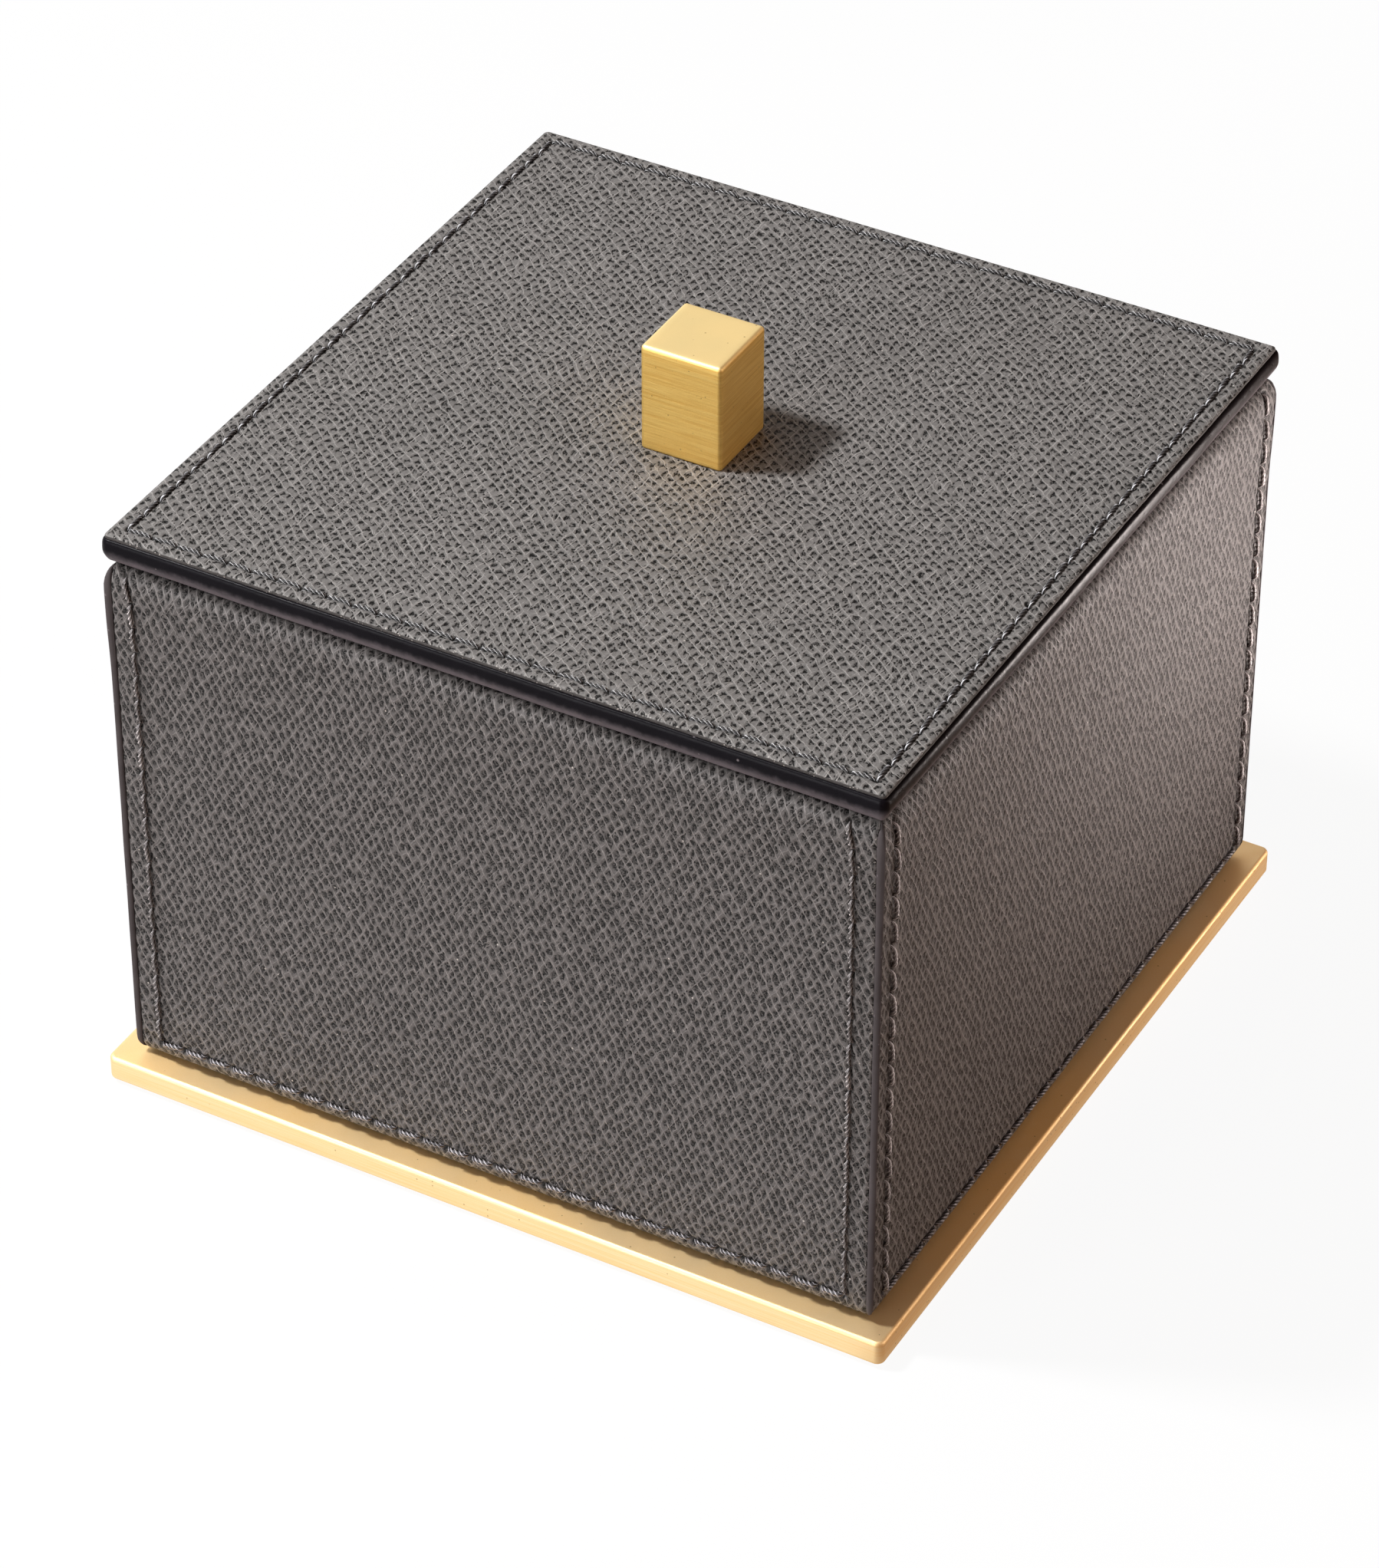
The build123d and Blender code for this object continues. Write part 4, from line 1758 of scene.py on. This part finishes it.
    def corner_paint(self, side: Side, sign: int) -> Skin:
        """The paint on one cut end of a side panel: a narrow ribbon that swells out of the corner.

        Args:
            side: The side wall.
            sign: Which end of it, -1 or 1.

        Returns:
            The ribbon's skin, in place.
        """
        section = self.section
        rows = section.sample(1.2 * MM, 0.3 * MM, [section.plate_top + 1 * MM])
        chosen = section.outer_face(rows["u"]) & (rows["nu"] > 0.02)
        u, z = rows["u"][chosen], rows["z"][chosen]
        back_u = np.full_like(u, -section.leather)
        back_z = section.inner_height(z)
        share = np.linspace(0.0, 1.0, 7)
        across_u = back_u[:, None] + (u - back_u)[:, None] * share
        across_z = back_z[:, None] + (z - back_z)[:, None] * share
        out = self.paint_swell * np.sin(math.pi * share) ** 0.6
        t = section.half + u[:, None] + out[None, :] - 0.10 * MM
        front = np.stack([t, -(section.half + across_u), across_z], axis=-1)
        rear = front[:, [-1, 0]].copy()
        rear[..., 0] -= 0.35 * MM
        loop = np.concatenate([front, rear], axis=1)
        loop[..., 0] += drift(loop, 17 * MM, 5 + side.value) * 0.03 * MM
        index = np.arange(loop[..., 0].size).reshape(loop.shape[:2])
        quads = grid_quads(np.hstack([index, index[:, :1]]))
        ends = [list(index[0, ::-1]), list(index[-1])]
        points = loop.reshape(-1, 3)
        if sign > 0:
            quads, ends = quads[:, ::-1], [end[::-1] for end in ends]
        else:
            points = points * np.array([-1.0, 1.0, 1.0])
        return Skin(side.place(points), quads, ends)

    def seam_rows(self, side: Side) -> list[SeamRow]:
        """The rows of a panel, in place on its face.

        Args:
            side: The wall.

        Returns:
            The left, right and bottom rows.
        """
        section = self.section
        dense = section.outline()
        outer = section.outer_face(dense[:, 0])
        sunk = self.groove_depth * 0.5
        found = []
        for holes in self.hole_places(side):
            u = np.interp(holes[:, 1], dense[outer, 1], dense[outer, 0])
            points = np.stack([holes[:, 0], -(section.half + u - sunk), holes[:, 1]], axis=1)
            found.append(SeamRow(side.place(points), side.place(np.array([0.0, -1.0, 0.0]))))
        return found

    def build(self, palette: Palette, leather: LeatherTree, stitching: Stitching) -> None:
        """Makes the panels, the painted corners and the stitches.

        Args:
            palette: The materials.
            leather: The tree that embosses leather.
            stitching: What sews them.
        """
        for side in Side:
            name = f"{side.label}_panel"
            piece = link(name, self.skin(side).mesh(name))
            face = palette.wall_leather if side.lapped else palette.side_leather
            leather.press(piece, palette.wall_grain, self.grain_depth, face, palette.corner_paint)
            settle(piece, Body.BOX, [f"{side.label}_cover"])
        for side in (Side.RIGHT, Side.LEFT):
            for sign, end in ((-1, "a"), (1, "b")):
                name, skin = f"{side.label}_corner_paint_{end}", self.corner_paint(side, sign)
                finish_skin(name, skin, 50, palette.corner_paint, Body.BOX)
        rows = [self.seam_rows(side) for side in Side]
        uprights = [row for of_side in rows for row in of_side[:2]]
        long = replace(stitching, fill=0.99, slant=6.0, rise=0.52 * MM)
        long.sew("upright_stitches", uprights, Body.BOX, palette.upright_thread)
        stitching.sew("foot_stitches", [of_side[2] for of_side in rows], Body.BOX, palette.thread)


# Lid


@dataclass
class Lid:
    """The lid: its leather sheet, rounded painted edge, underside and suede-covered plug."""

    step: float = 0.51 * MM
    fine_step: float = 0.26 * MM
    seam_inset: float = 3.0 * MM
    grain_depth: float = 0.15 * MM
    groove_depth: float = 0.22 * MM
    groove_width: float = 0.62 * MM
    hole_depth: float = 0.35 * MM
    hole_width: float = 0.5 * MM
    shoulder: float = 0.8 * MM
    shoulder_drop: float = 0.22 * MM
    rim_drop: float = 0.08 * MM
    wear_width: float = 0.42 * MM
    sheet_corner: float = 0.8 * MM
    band_corner: float = 1.5 * MM
    plug_ease: float = 0.8 * MM

    def __post_init__(self) -> None:
        """Reads the lid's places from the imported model."""
        low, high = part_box("lid_leather")
        self.sheet_half, self.sheet_low, self.sheet_top = high.x, low.z, high.z
        low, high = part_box("lid_edge_band")
        self.band_half, self.band_low, self.band_top = high.x, low.z, high.z
        low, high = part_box("lid_underlay")
        self.core_half, self.underlay_low, self.underlay_top = high.x, low.z, high.z
        low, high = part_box("plug_cover")
        self.plug_half, self.plug_low, self.plug_top = high.x, low.z, high.z

    def seam_rows(self) -> list[SeamRow]:
        """The rows of holes along the sheet's four sides, sunk in their groove.

        Returns:
            One row for each side.
        """
        reach = self.sheet_half - self.seam_inset
        count = int(round(2 * reach / STITCH_PITCH))
        run = np.linspace(-reach, reach, count + 1)
        depth = self.sheet_top - self.groove_depth * 0.9
        front = np.stack([run, np.full_like(run, -reach), np.full_like(run, depth)], axis=1)
        return [SeamRow(side.place(front), np.array([0.0, 0.0, 1.0])) for side in Side]

    def sheet_skin(self) -> Skin:
        """The closed skin of the leather sheet on the lid.

        Returns:
            The skin, in place.
        """
        half, inset = self.sheet_half, self.seam_inset
        marks_at = [-half, -half + inset, half - inset, half]
        run = graded(-half, half, self.step, self.fine_step, marks_at, 1.4 * MM)
        x, y = np.meshgrid(run, run)
        to_edge = half - np.maximum(np.abs(x), np.abs(y))
        to_seam = np.abs(to_edge - inset)
        groove = bump_of(to_seam, self.groove_width)
        places = np.concatenate([row.holes[:, :2] for row in self.seam_rows()])
        holes = hole_marks(x, y, places, self.hole_width)
        shoulder = (1.0 - np.clip(to_edge / self.shoulder, 0, 1)) ** 2
        z = self.sheet_top - self.groove_depth * groove - self.hole_depth * holes
        z -= self.shoulder_drop * shoulder
        z -= self.rim_drop * (to_edge < inset) * (1 - to_edge / inset)
        margin = 1.0 - smooth_step(inset - 1.2 * MM, inset, to_edge)
        grain = (1 - 0.6 * groove) * (1 - 0.3 * margin) * smooth_step(0, 0.5 * MM, to_edge)
        cut_x, cut_y = self._round_corners(x, y, half)
        face = np.stack([cut_x, cut_y, z], axis=-1).reshape(-1, 3)
        index = np.arange(x.size).reshape(x.shape)
        quads = grid_quads(index)
        rim = np.concatenate([index[0, :-1], index[:-1, -1], index[-1, :0:-1], index[:0:-1, 0]])
        wall, points, level = [], [face], rim
        flare = drift(face[rim], 1.1 * MM, 8) * 0.05 * MM
        outward = face[rim][:, :2] / np.linalg.norm(face[rim][:, :2], axis=1)[:, None]
        for share, swell in ((0.35, 0.06 * MM), (0.75, 0.05 * MM), (1.0, 0.0)):
            ring = face[rim].copy()
            ring[:, :2] += outward * (swell + flare * (share < 1))[:, None]
            ring[:, 2] = face[rim, 2] + (self.sheet_low - face[rim, 2]) * share
            following = sum(len(p) for p in points) + np.arange(len(rim))
            points.append(ring)
            ahead, below = np.roll(level, -1), np.roll(following, -1)
            wall.append(np.stack([ahead, level, following, below], axis=1))
            level = following
        all_quads = np.concatenate([quads, *wall])
        all_points = np.concatenate(points)
        blank = np.zeros(len(all_points) - len(face))
        marks = {
            Region.GRAIN: grain,
            # The seam mark paints shadow into the groove and the needle holes.
            Region.SEAM: np.clip(0.30 * groove + 0.9 * holes, 0, 1),
            Region.WEAR: bump_of(to_edge, self.wear_width),
        }
        return Skin(
            all_points,
            all_quads,
            [list(level[::-1])],
            uv=all_points[:, :2] + np.array([0.9, 1.7]),
            marks={key: np.concatenate([value.ravel(), blank]) for key, value in marks.items()},
            cut_faces=np.arange(len(quads), len(all_quads) + 1),
            flat_faces=np.array([len(all_quads)]),
        )

    def _round_corners(self, x: Array, y: Array, half: float) -> tuple[Array, Array]:
        """Draws the corners of a square grid in to arcs.

        Args:
            x: First coordinate of each point.
            y: Second coordinate of each point.
            half: Half the square's side.

        Returns:
            Both coordinates, drawn in.
        """
        radius = self.sheet_corner
        over_x = np.clip(np.abs(x) - (half - radius), 0, None)
        over_y = np.clip(np.abs(y) - (half - radius), 0, None)
        reach = np.hypot(over_x, over_y)
        both = (over_x > 0) & (over_y > 0)
        scale = np.where(both, np.maximum(over_x, over_y) / np.where(reach > 0, reach, 1.0), 1.0)
        cut_x = np.sign(x) * (np.abs(x) - over_x * (1 - scale))
        cut_y = np.sign(y) * (np.abs(y) - over_y * (1 - scale))
        return cut_x, cut_y

    def band_rings(self) -> list[Ring]:
        """Section of the painted edge, from its inner foot outwards, up and back inside.

        Returns:
            The rings, in order.
        """
        low, top, half = self.band_low, self.band_top, self.band_half
        profile = [
            (2.45, 0.02),
            (1.95, 0.16),
            (1.50, 0.42),
            (1.10, 0.76),
            (0.78, 1.14),
            (0.50, 1.56),
            (0.28, 1.98),
            (0.12, 2.36),
            (0.04, 2.66),
            (0.00, 2.98),
            (0.00, 3.50),
            (0.03, 4.10),
            (0.10, 4.62),
            (0.24, 5.02),
            (0.46, 5.26),
            (0.70, 5.30),
        ]
        rings = [square(self.core_half, 0.02 * MM, low)]
        for inset, lift in profile:
            radius = max(self.band_corner - inset * MM, 0.12 * MM)
            rings.append(square(half - inset * MM, radius, min(low + lift * MM, top)))
        return [*rings, square(self.core_half, 0.02 * MM, top)]

    def build(self, palette: Palette, leather: LeatherTree, stitching: Stitching) -> None:
        """Makes the lid's pieces.

        Args:
            palette: The materials.
            leather: The tree that embosses leather.
            stitching: What sews them.
        """
        sheet = link("lid_sheet", self.sheet_skin().mesh("lid_sheet"))
        leather.press(
            sheet, palette.lid_grain, self.grain_depth, palette.lid_leather, palette.cut_edge
        )
        settle(sheet, Body.LID, ["lid_leather"])

        band = loft(self.band_rings(), 10, 60, closed=True)
        waves = drift(band.points, 23 * MM, 3) * 0.05 * MM
        band.points += waves[:, None] * np.array([1, 1, 0.4])
        node, name = "lid_edge_band", "lid_painted_edge"
        finish_skin(name, band, 40, palette.paint, Body.LID, [node])

        rows = self.seam_rows()
        stitching.sew("lid_stitches", rows[0::2], Body.LID, palette.lid_thread)
        stitching.sew("lid_side_stitches", rows[1::2], Body.LID, palette.side_thread)

        self._underside(palette)
        self._plug(palette)

    def _underside(self, palette: Palette) -> None:
        """Makes the leather under the lid.

        Args:
            palette: The materials.
        """
        half, low, top = self.core_half - 0.05 * MM, self.underlay_low, self.underlay_top
        ease, corner = 0.25 * MM, 0.3 * MM
        rings = [
            square(30 * MM, 1 * MM, low),
            square(60 * MM, 1 * MM, low),
            square(half - ease, corner, low),
            square(half, corner, low + ease),
            square(half, corner, top),
        ]
        skin = loft(rings, 4, 40)
        skin.uv = skin.points[:, :2] + np.array([2.3, 0.4])
        node, name = "lid_underlay", "lid_underside_sheet"
        finish_skin(name, skin, 40, palette.wall_leather, Body.LID, [node])

    def _plug(self, palette: Palette) -> None:
        """Makes the suede tray that wraps the plug board.

        Args:
            palette: The materials.
        """
        half, low, top = self.plug_half, self.plug_low, self.plug_top
        board_low, board_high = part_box("plug_board")
        board, inner_corner, corner = board_high.x, 1.5 * MM, 2.3 * MM
        rings = [square(size * MM, 2 * MM, low) for size in (6, 18, 32, 46, 58, 64)]
        rings += eased_rim(half, half, low, -self.plug_ease, corner)[::-1]
        rings += [square(half, corner, low + 2.5 * MM), square(half, corner, top)]
        rings += [square(board, inner_corner, top), square(board, inner_corner, board_low.z)]
        skin = loft(rings, 6, 40)
        heights = skin.points[:, 2]
        outside = (heights < top - 0.1 * MM) & (np.abs(heights - board_low.z) > 1e-6)
        soft = drift(skin.points, 19 * MM, 21) * 0.07 * MM
        skin.points[:, 2] += np.where(outside, soft, 0)
        finish_skin("plug_suede", skin, 45, palette.suede, Body.LID, ["plug_cover"])


@dataclass
class Knob:
    """The square brass knob, its edges eased by hand."""

    ease: float = 0.75 * MM
    corner: float = 0.8 * MM
    foot_ease: float = 0.55 * MM
    hole: float = 2.05 * MM
    hole_depth: float = 11.5 * MM

    def build(self, palette: Palette) -> None:
        """Makes the knob.

        Args:
            palette: The materials.
        """
        low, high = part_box("knob")
        half, foot, top = high.x, low.z, high.z
        rings = [
            square(self.hole, self.hole, foot + self.hole_depth),
            square(self.hole, self.hole, foot),
        ]
        rings += eased_rim(half, half, foot, -self.foot_ease, self.corner)[::-1]
        rings += [square(half, self.corner, foot + rise * MM) for rise in (1.4, 7.0, 14.0, 18.6)]
        rings += eased_rim(half, half, top, self.ease, self.corner)
        rings += [square(size * MM, 0.3 * MM, top) for size in (6.3, 4.5, 2.0)]
        block = loft(rings, 6, 10)
        finish_skin("knob_block", block, 42, palette.knob_brass, Body.LID, ["knob"])


# Base and inside


@dataclass
class Base:
    """The brass plate and the felt under it."""

    pad_ease: float = 0.2 * MM

    def build(self, palette: Palette) -> None:
        """Makes the plate and the felt.

        Args:
            palette: The materials.
        """
        merged_copy("base_plate", "brass_plate", Body.BOX, palette.plate_brass, 24)
        low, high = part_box("base_pad")
        half = high.x
        corner = 1.6 * MM
        rings = [square(size * MM, corner, low.z) for size in (20, 45, 65)]
        rings += [
            square(half - self.pad_ease, 1.4 * MM, low.z),
            square(half, corner, low.z + self.pad_ease),
            square(half, corner, high.z),
        ]
        skin = loft(rings, 6, 60)
        edge = skin.points[:, 2] > low.z + 0.1 * MM
        fuzz = drift(skin.points, 2.2 * MM, 31) * 0.08 * MM
        skin.points[:, :2] *= np.where(edge, 1 - np.abs(fuzz) / half, 1.0)[:, None]
        finish_skin("felt_foot", skin, 45, palette.felt, Body.BOX, ["base_pad"])


def merged_copy(
    node: str, name: str, body: Body, material: Material, angle: float
) -> None:
    """Stands a merged, smoothly shaded copy in for a CAD node.

    Args:
        node: The CAD node.
        name: The copy's name.
        body: The body that carries it.
        material: The copy's material.
        angle: Edges sharper than this many degrees stay sharp.
    """
    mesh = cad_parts[node].data.copy()
    mesh.name = name
    mesh.materials.clear()
    shape = bmesh.new()
    shape.from_mesh(mesh)
    bmesh.ops.remove_doubles(shape, verts=shape.verts, dist=0.002 * MM)
    shape.to_mesh(mesh)
    shape.free()
    if mesh.has_custom_normals:
        mesh.attributes.remove(mesh.attributes["custom_normal"])
    piece = link(name, mesh)
    crease(mesh, angle)
    mesh.materials.append(material)
    settle(piece, body, [node])


@dataclass
class Interior:
    """Suede on the walls and the floor inside."""

    ease: float = 0.35 * MM
    softness: float = 0.10 * MM
    gap: float = 0.02 * MM

    def sheet(self, half_x: float, half_y: float, thickness: float, seed: int) -> Skin:
        """A sheet of suede lying flat, nap up, with soft edges.

        Args:
            half_x: Half its width.
            half_y: Half its depth.
            thickness: Its thickness.
            seed: Fixes its unevenness.

        Returns:
            The skin, its underside at zero height.
        """
        corner = 0.1 * MM
        rings = [Ring(half_x, half_y, corner, 0.0)]
        rings += eased_rim(half_x, half_y, thickness, self.ease, corner, steps=5)
        for share in (0.93, 0.82, 0.68, 0.52, 0.36, 0.2, 0.08):
            rings.append(Ring(half_x * share, half_y * share, corner, thickness))
        skin = loft(rings, 2, 30)
        top = skin.points[:, 2] > thickness * 0.99
        skin.points[:, 2] += np.where(top, drift(skin.points, 17 * MM, seed) * self.softness, 0.0)
        return skin

    def build(self, palette: Palette) -> None:
        """Makes the five sheets.

        Args:
            palette: The materials.
        """
        low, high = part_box("front_lining")
        floor_low, floor_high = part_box("floor_lining")
        thickness = high.y - low.y
        tall = (high.z - low.z) / 2 - self.gap
        for side in Side:
            wide = (high.x - low.x) / 2 - (self.gap if side.lapped else thickness)
            skin = self.sheet(wide, tall, thickness, 40 + side.value)
            x, y, z = skin.points.T
            placed = np.stack([-x, low.y + z, (high.z + low.z) / 2 + y], axis=1)
            skin.points = side.place(placed)
            self._finish(side.label, skin, palette)
        half = floor_high.x - 0.05 * MM
        skin = self.sheet(half, half, floor_high.z - floor_low.z, seed=47)
        skin.points[:, 2] += floor_low.z
        self._finish("floor", skin, palette)

    @staticmethod
    def _finish(place: str, skin: Skin, palette: Palette) -> None:
        """Dresses one sheet and stands it in for its lining."""
        node = f"{place}_lining"
        finish_skin(f"{place}_suede", skin, 60, palette.suede, Body.BOX, [node])


def dress_nodes(palette: Palette) -> None:
    """Gives the CAD nodes that stay their materials.

    Args:
        palette: The materials.
    """
    places = ["bottom", "lid", "plug", *[side.label for side in Side]]
    finishes = {
        palette.board: [f"{place}_board" for place in places],
        palette.steel: ["base_screws", "knob_screw", "knob_washer"],
    }
    for material, names in finishes.items():
        for name in names:
            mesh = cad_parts[name].data
            mesh.materials.clear()
            mesh.materials.append(material)


# Studio


@dataclass(frozen=True)
class Lamp:
    """An area lamp that shines on a point from a direction."""

    name: str
    towards: tuple[float, float, float]
    distance: float
    size: float
    watts: float
    colour: Colour = (1.0, 1.0, 1.0)
    aim: tuple[float, float, float] = (0.0, 0.0, 0.08)
    spread: float = 180.0

    def build(self) -> None:
        """Places the lamp."""
        data = bpy.data.lights.new(self.name, "AREA")
        data.shape = "DISK"
        data.size = self.size
        data.energy = self.watts
        data.color = self.colour
        data.spread = math.radians(self.spread)
        lamp = link(self.name, data)
        direction = Vector(self.towards).normalized()
        lamp.location = Vector(self.aim) + direction * self.distance
        lamp.rotation_euler = direction.to_track_quat("Z", "Y").to_euler()
        lamp.visible_camera = False


@dataclass
class Studio:
    """Floor, plain light and the camera at the photograph's viewing angle."""

    azimuth: float = 29.037
    elevation: float = 37.50
    roll: float = 0.082
    stand: tuple[float, float, float] = (0.42257, -0.76570, 0.71518)
    lens: float = 140.9
    world_light: float = 0.20
    dim_side: Colour = (0.28, 0.16, 0.09)
    dim_floor: Colour = (0.34, 0.20, 0.11)
    bounce: Colour = (0.50, 0.40, 0.35)

    def camera(self) -> None:
        """Places the camera."""
        data = bpy.data.cameras.new("camera")
        data.lens = self.lens
        data.sensor_width = 36.0
        data.clip_start, data.clip_end = 0.05, 20.0
        camera = link("camera", data)
        a, e = math.radians(self.azimuth), math.radians(self.elevation)
        back = Vector((math.sin(a) * math.cos(e), -math.cos(a) * math.cos(e), math.sin(e)))
        camera.location = Vector(self.stand)
        turn = back.to_track_quat("Z", "Y").to_matrix().to_4x4()
        turn = turn @ Matrix.Rotation(math.radians(self.roll), 4, "Z")
        camera.rotation_euler = turn.to_euler()
        bpy.context.scene.camera = camera

    def floor(self) -> None:
        """Makes the pale floor, which keeps the box's shadow."""
        rings = [square(4.0, 0.5, height) for height in (-20 * MM, -0.02 * MM)]
        floor = link("studio_floor", loft(rings, 8, 2).mesh("studio_floor"))
        crease(floor.data, 30)
        surface = Surface("studio_floor_white")
        bench = surface.bench
        grey = surface.patches(surface.place(), 0.5, 0.01)
        direct = bench.add("ShaderNodeLightPath").outputs["Is Camera Ray"]
        colour = bench.blend(direct, self.bounce, (0.92, 0.92, 0.92))
        side = bench.parts(surface.place())[0]
        dim = bench.times(bench.fade(side, 0.070, 0.086), bench.rest(direct))
        surface.set(
            Base_Color=bench.shade(colour, grey), Roughness=0.9, Specular_IOR_Level=0.1
        )
        tint = bench.blend(dim, (1.0, 1.0, 1.0), self.dim_floor)
        glow = bench.add("ShaderNodeEmission", {"Color": tint, "Strength": 1.0})
        share = bench.times(self._seen(bench), 0.93)
        both = {0: share, 1: surface.shader.outputs[0], 2: glow.outputs[0]}
        mixed = bench.add("ShaderNodeMixShader", both)
        output = next(n for n in bench.tree.nodes if n.type == "OUTPUT_MATERIAL")
        bench.tree.links.new(mixed.outputs[0], output.inputs["Surface"])
        floor.data.materials.append(surface.material)

    @staticmethod
    def _seen(bench: Bench) -> Socket:
        """1 for rays from the camera and for reflected and refracted ones."""
        path = bench.add("ShaderNodeLightPath").outputs
        direct = bench.math("MAXIMUM", path["Is Camera Ray"], path["Is Glossy Ray"])
        return bench.math("MAXIMUM", direct, path["Is Transmission Ray"])

    def world(self) -> None:
        """Makes the even light from all round and the white backdrop."""
        world = bpy.data.worlds.new("studio_world")
        bpy.context.scene.world = world
        world.use_nodes = True
        world.node_tree.nodes.clear()
        bench = Bench(world.node_tree)
        side = bench.parts(bench.add("ShaderNodeTexCoord").outputs["Generated"])[0]
        direct = bench.add("ShaderNodeLightPath").outputs["Is Camera Ray"]
        dim = bench.times(bench.fade(side, -0.55, 0.0), bench.rest(direct))
        colour = bench.blend(dim, (1.0, 0.97, 0.95), self.dim_side)
        light = bench.add("ShaderNodeBackground", {"Color": colour, "Strength": self.world_light})
        white = bench.blend(dim, (1.0, 1.0, 1.0), self.dim_side)
        white = bench.add("ShaderNodeBackground", {"Color": white, "Strength": 1.0})
        both = {0: self._seen(bench), 1: light.outputs[0], 2: white.outputs[0]}
        mixed = bench.add("ShaderNodeMixShader", both)
        bench.add("ShaderNodeOutputWorld", {"Surface": mixed.outputs[0]})

    def build(self) -> None:
        """Makes the studio."""
        bpy.context.scene.view_settings.view_transform = "Standard"
        self.camera()
        self.floor()
        self.world()
        lamps = (
            Lamp("key_lamp", (-0.504, -0.245, 0.828), 1.4, 0.20, 20.0, (0.99, 0.99, 1.0)),
            Lamp("front_fill", (-0.30, -0.92, 0.22), 1.6, 0.9, 14.0, (0.98, 0.99, 1.0)),
            Lamp("right_fill", (0.85, 0.30, 0.30), 1.6, 0.9, 7.0, (1.0, 0.88, 0.84)),
            Lamp(
                "side_fill",
                (0.1155, 0.100, -0.065),
                0.166,
                0.06,
                0.075,
                (1.0, 0.90, 0.87),
                aim=(0.0745, 0.050, 0.095),
                spread=76.0,
            ),
        )
        for lamp in lamps:
            lamp.build()


def main() -> None:
    """Builds the dressed box and its studio."""
    logging.basicConfig(level=logging.INFO, format="%(name)s: %(message)s")
    palette = Palette()
    leather = LeatherTree()
    Walls().build(palette, leather, Stitching())
    Lid().build(palette, leather, Stitching(thread=0.40 * MM, rise=0.33 * MM, fill=0.98, seed=23))
    Knob().build(palette)
    Base().build(palette)
    Interior().build(palette)
    dress_nodes(palette)
    Studio().build()


if __name__ == "__main__":
    main()
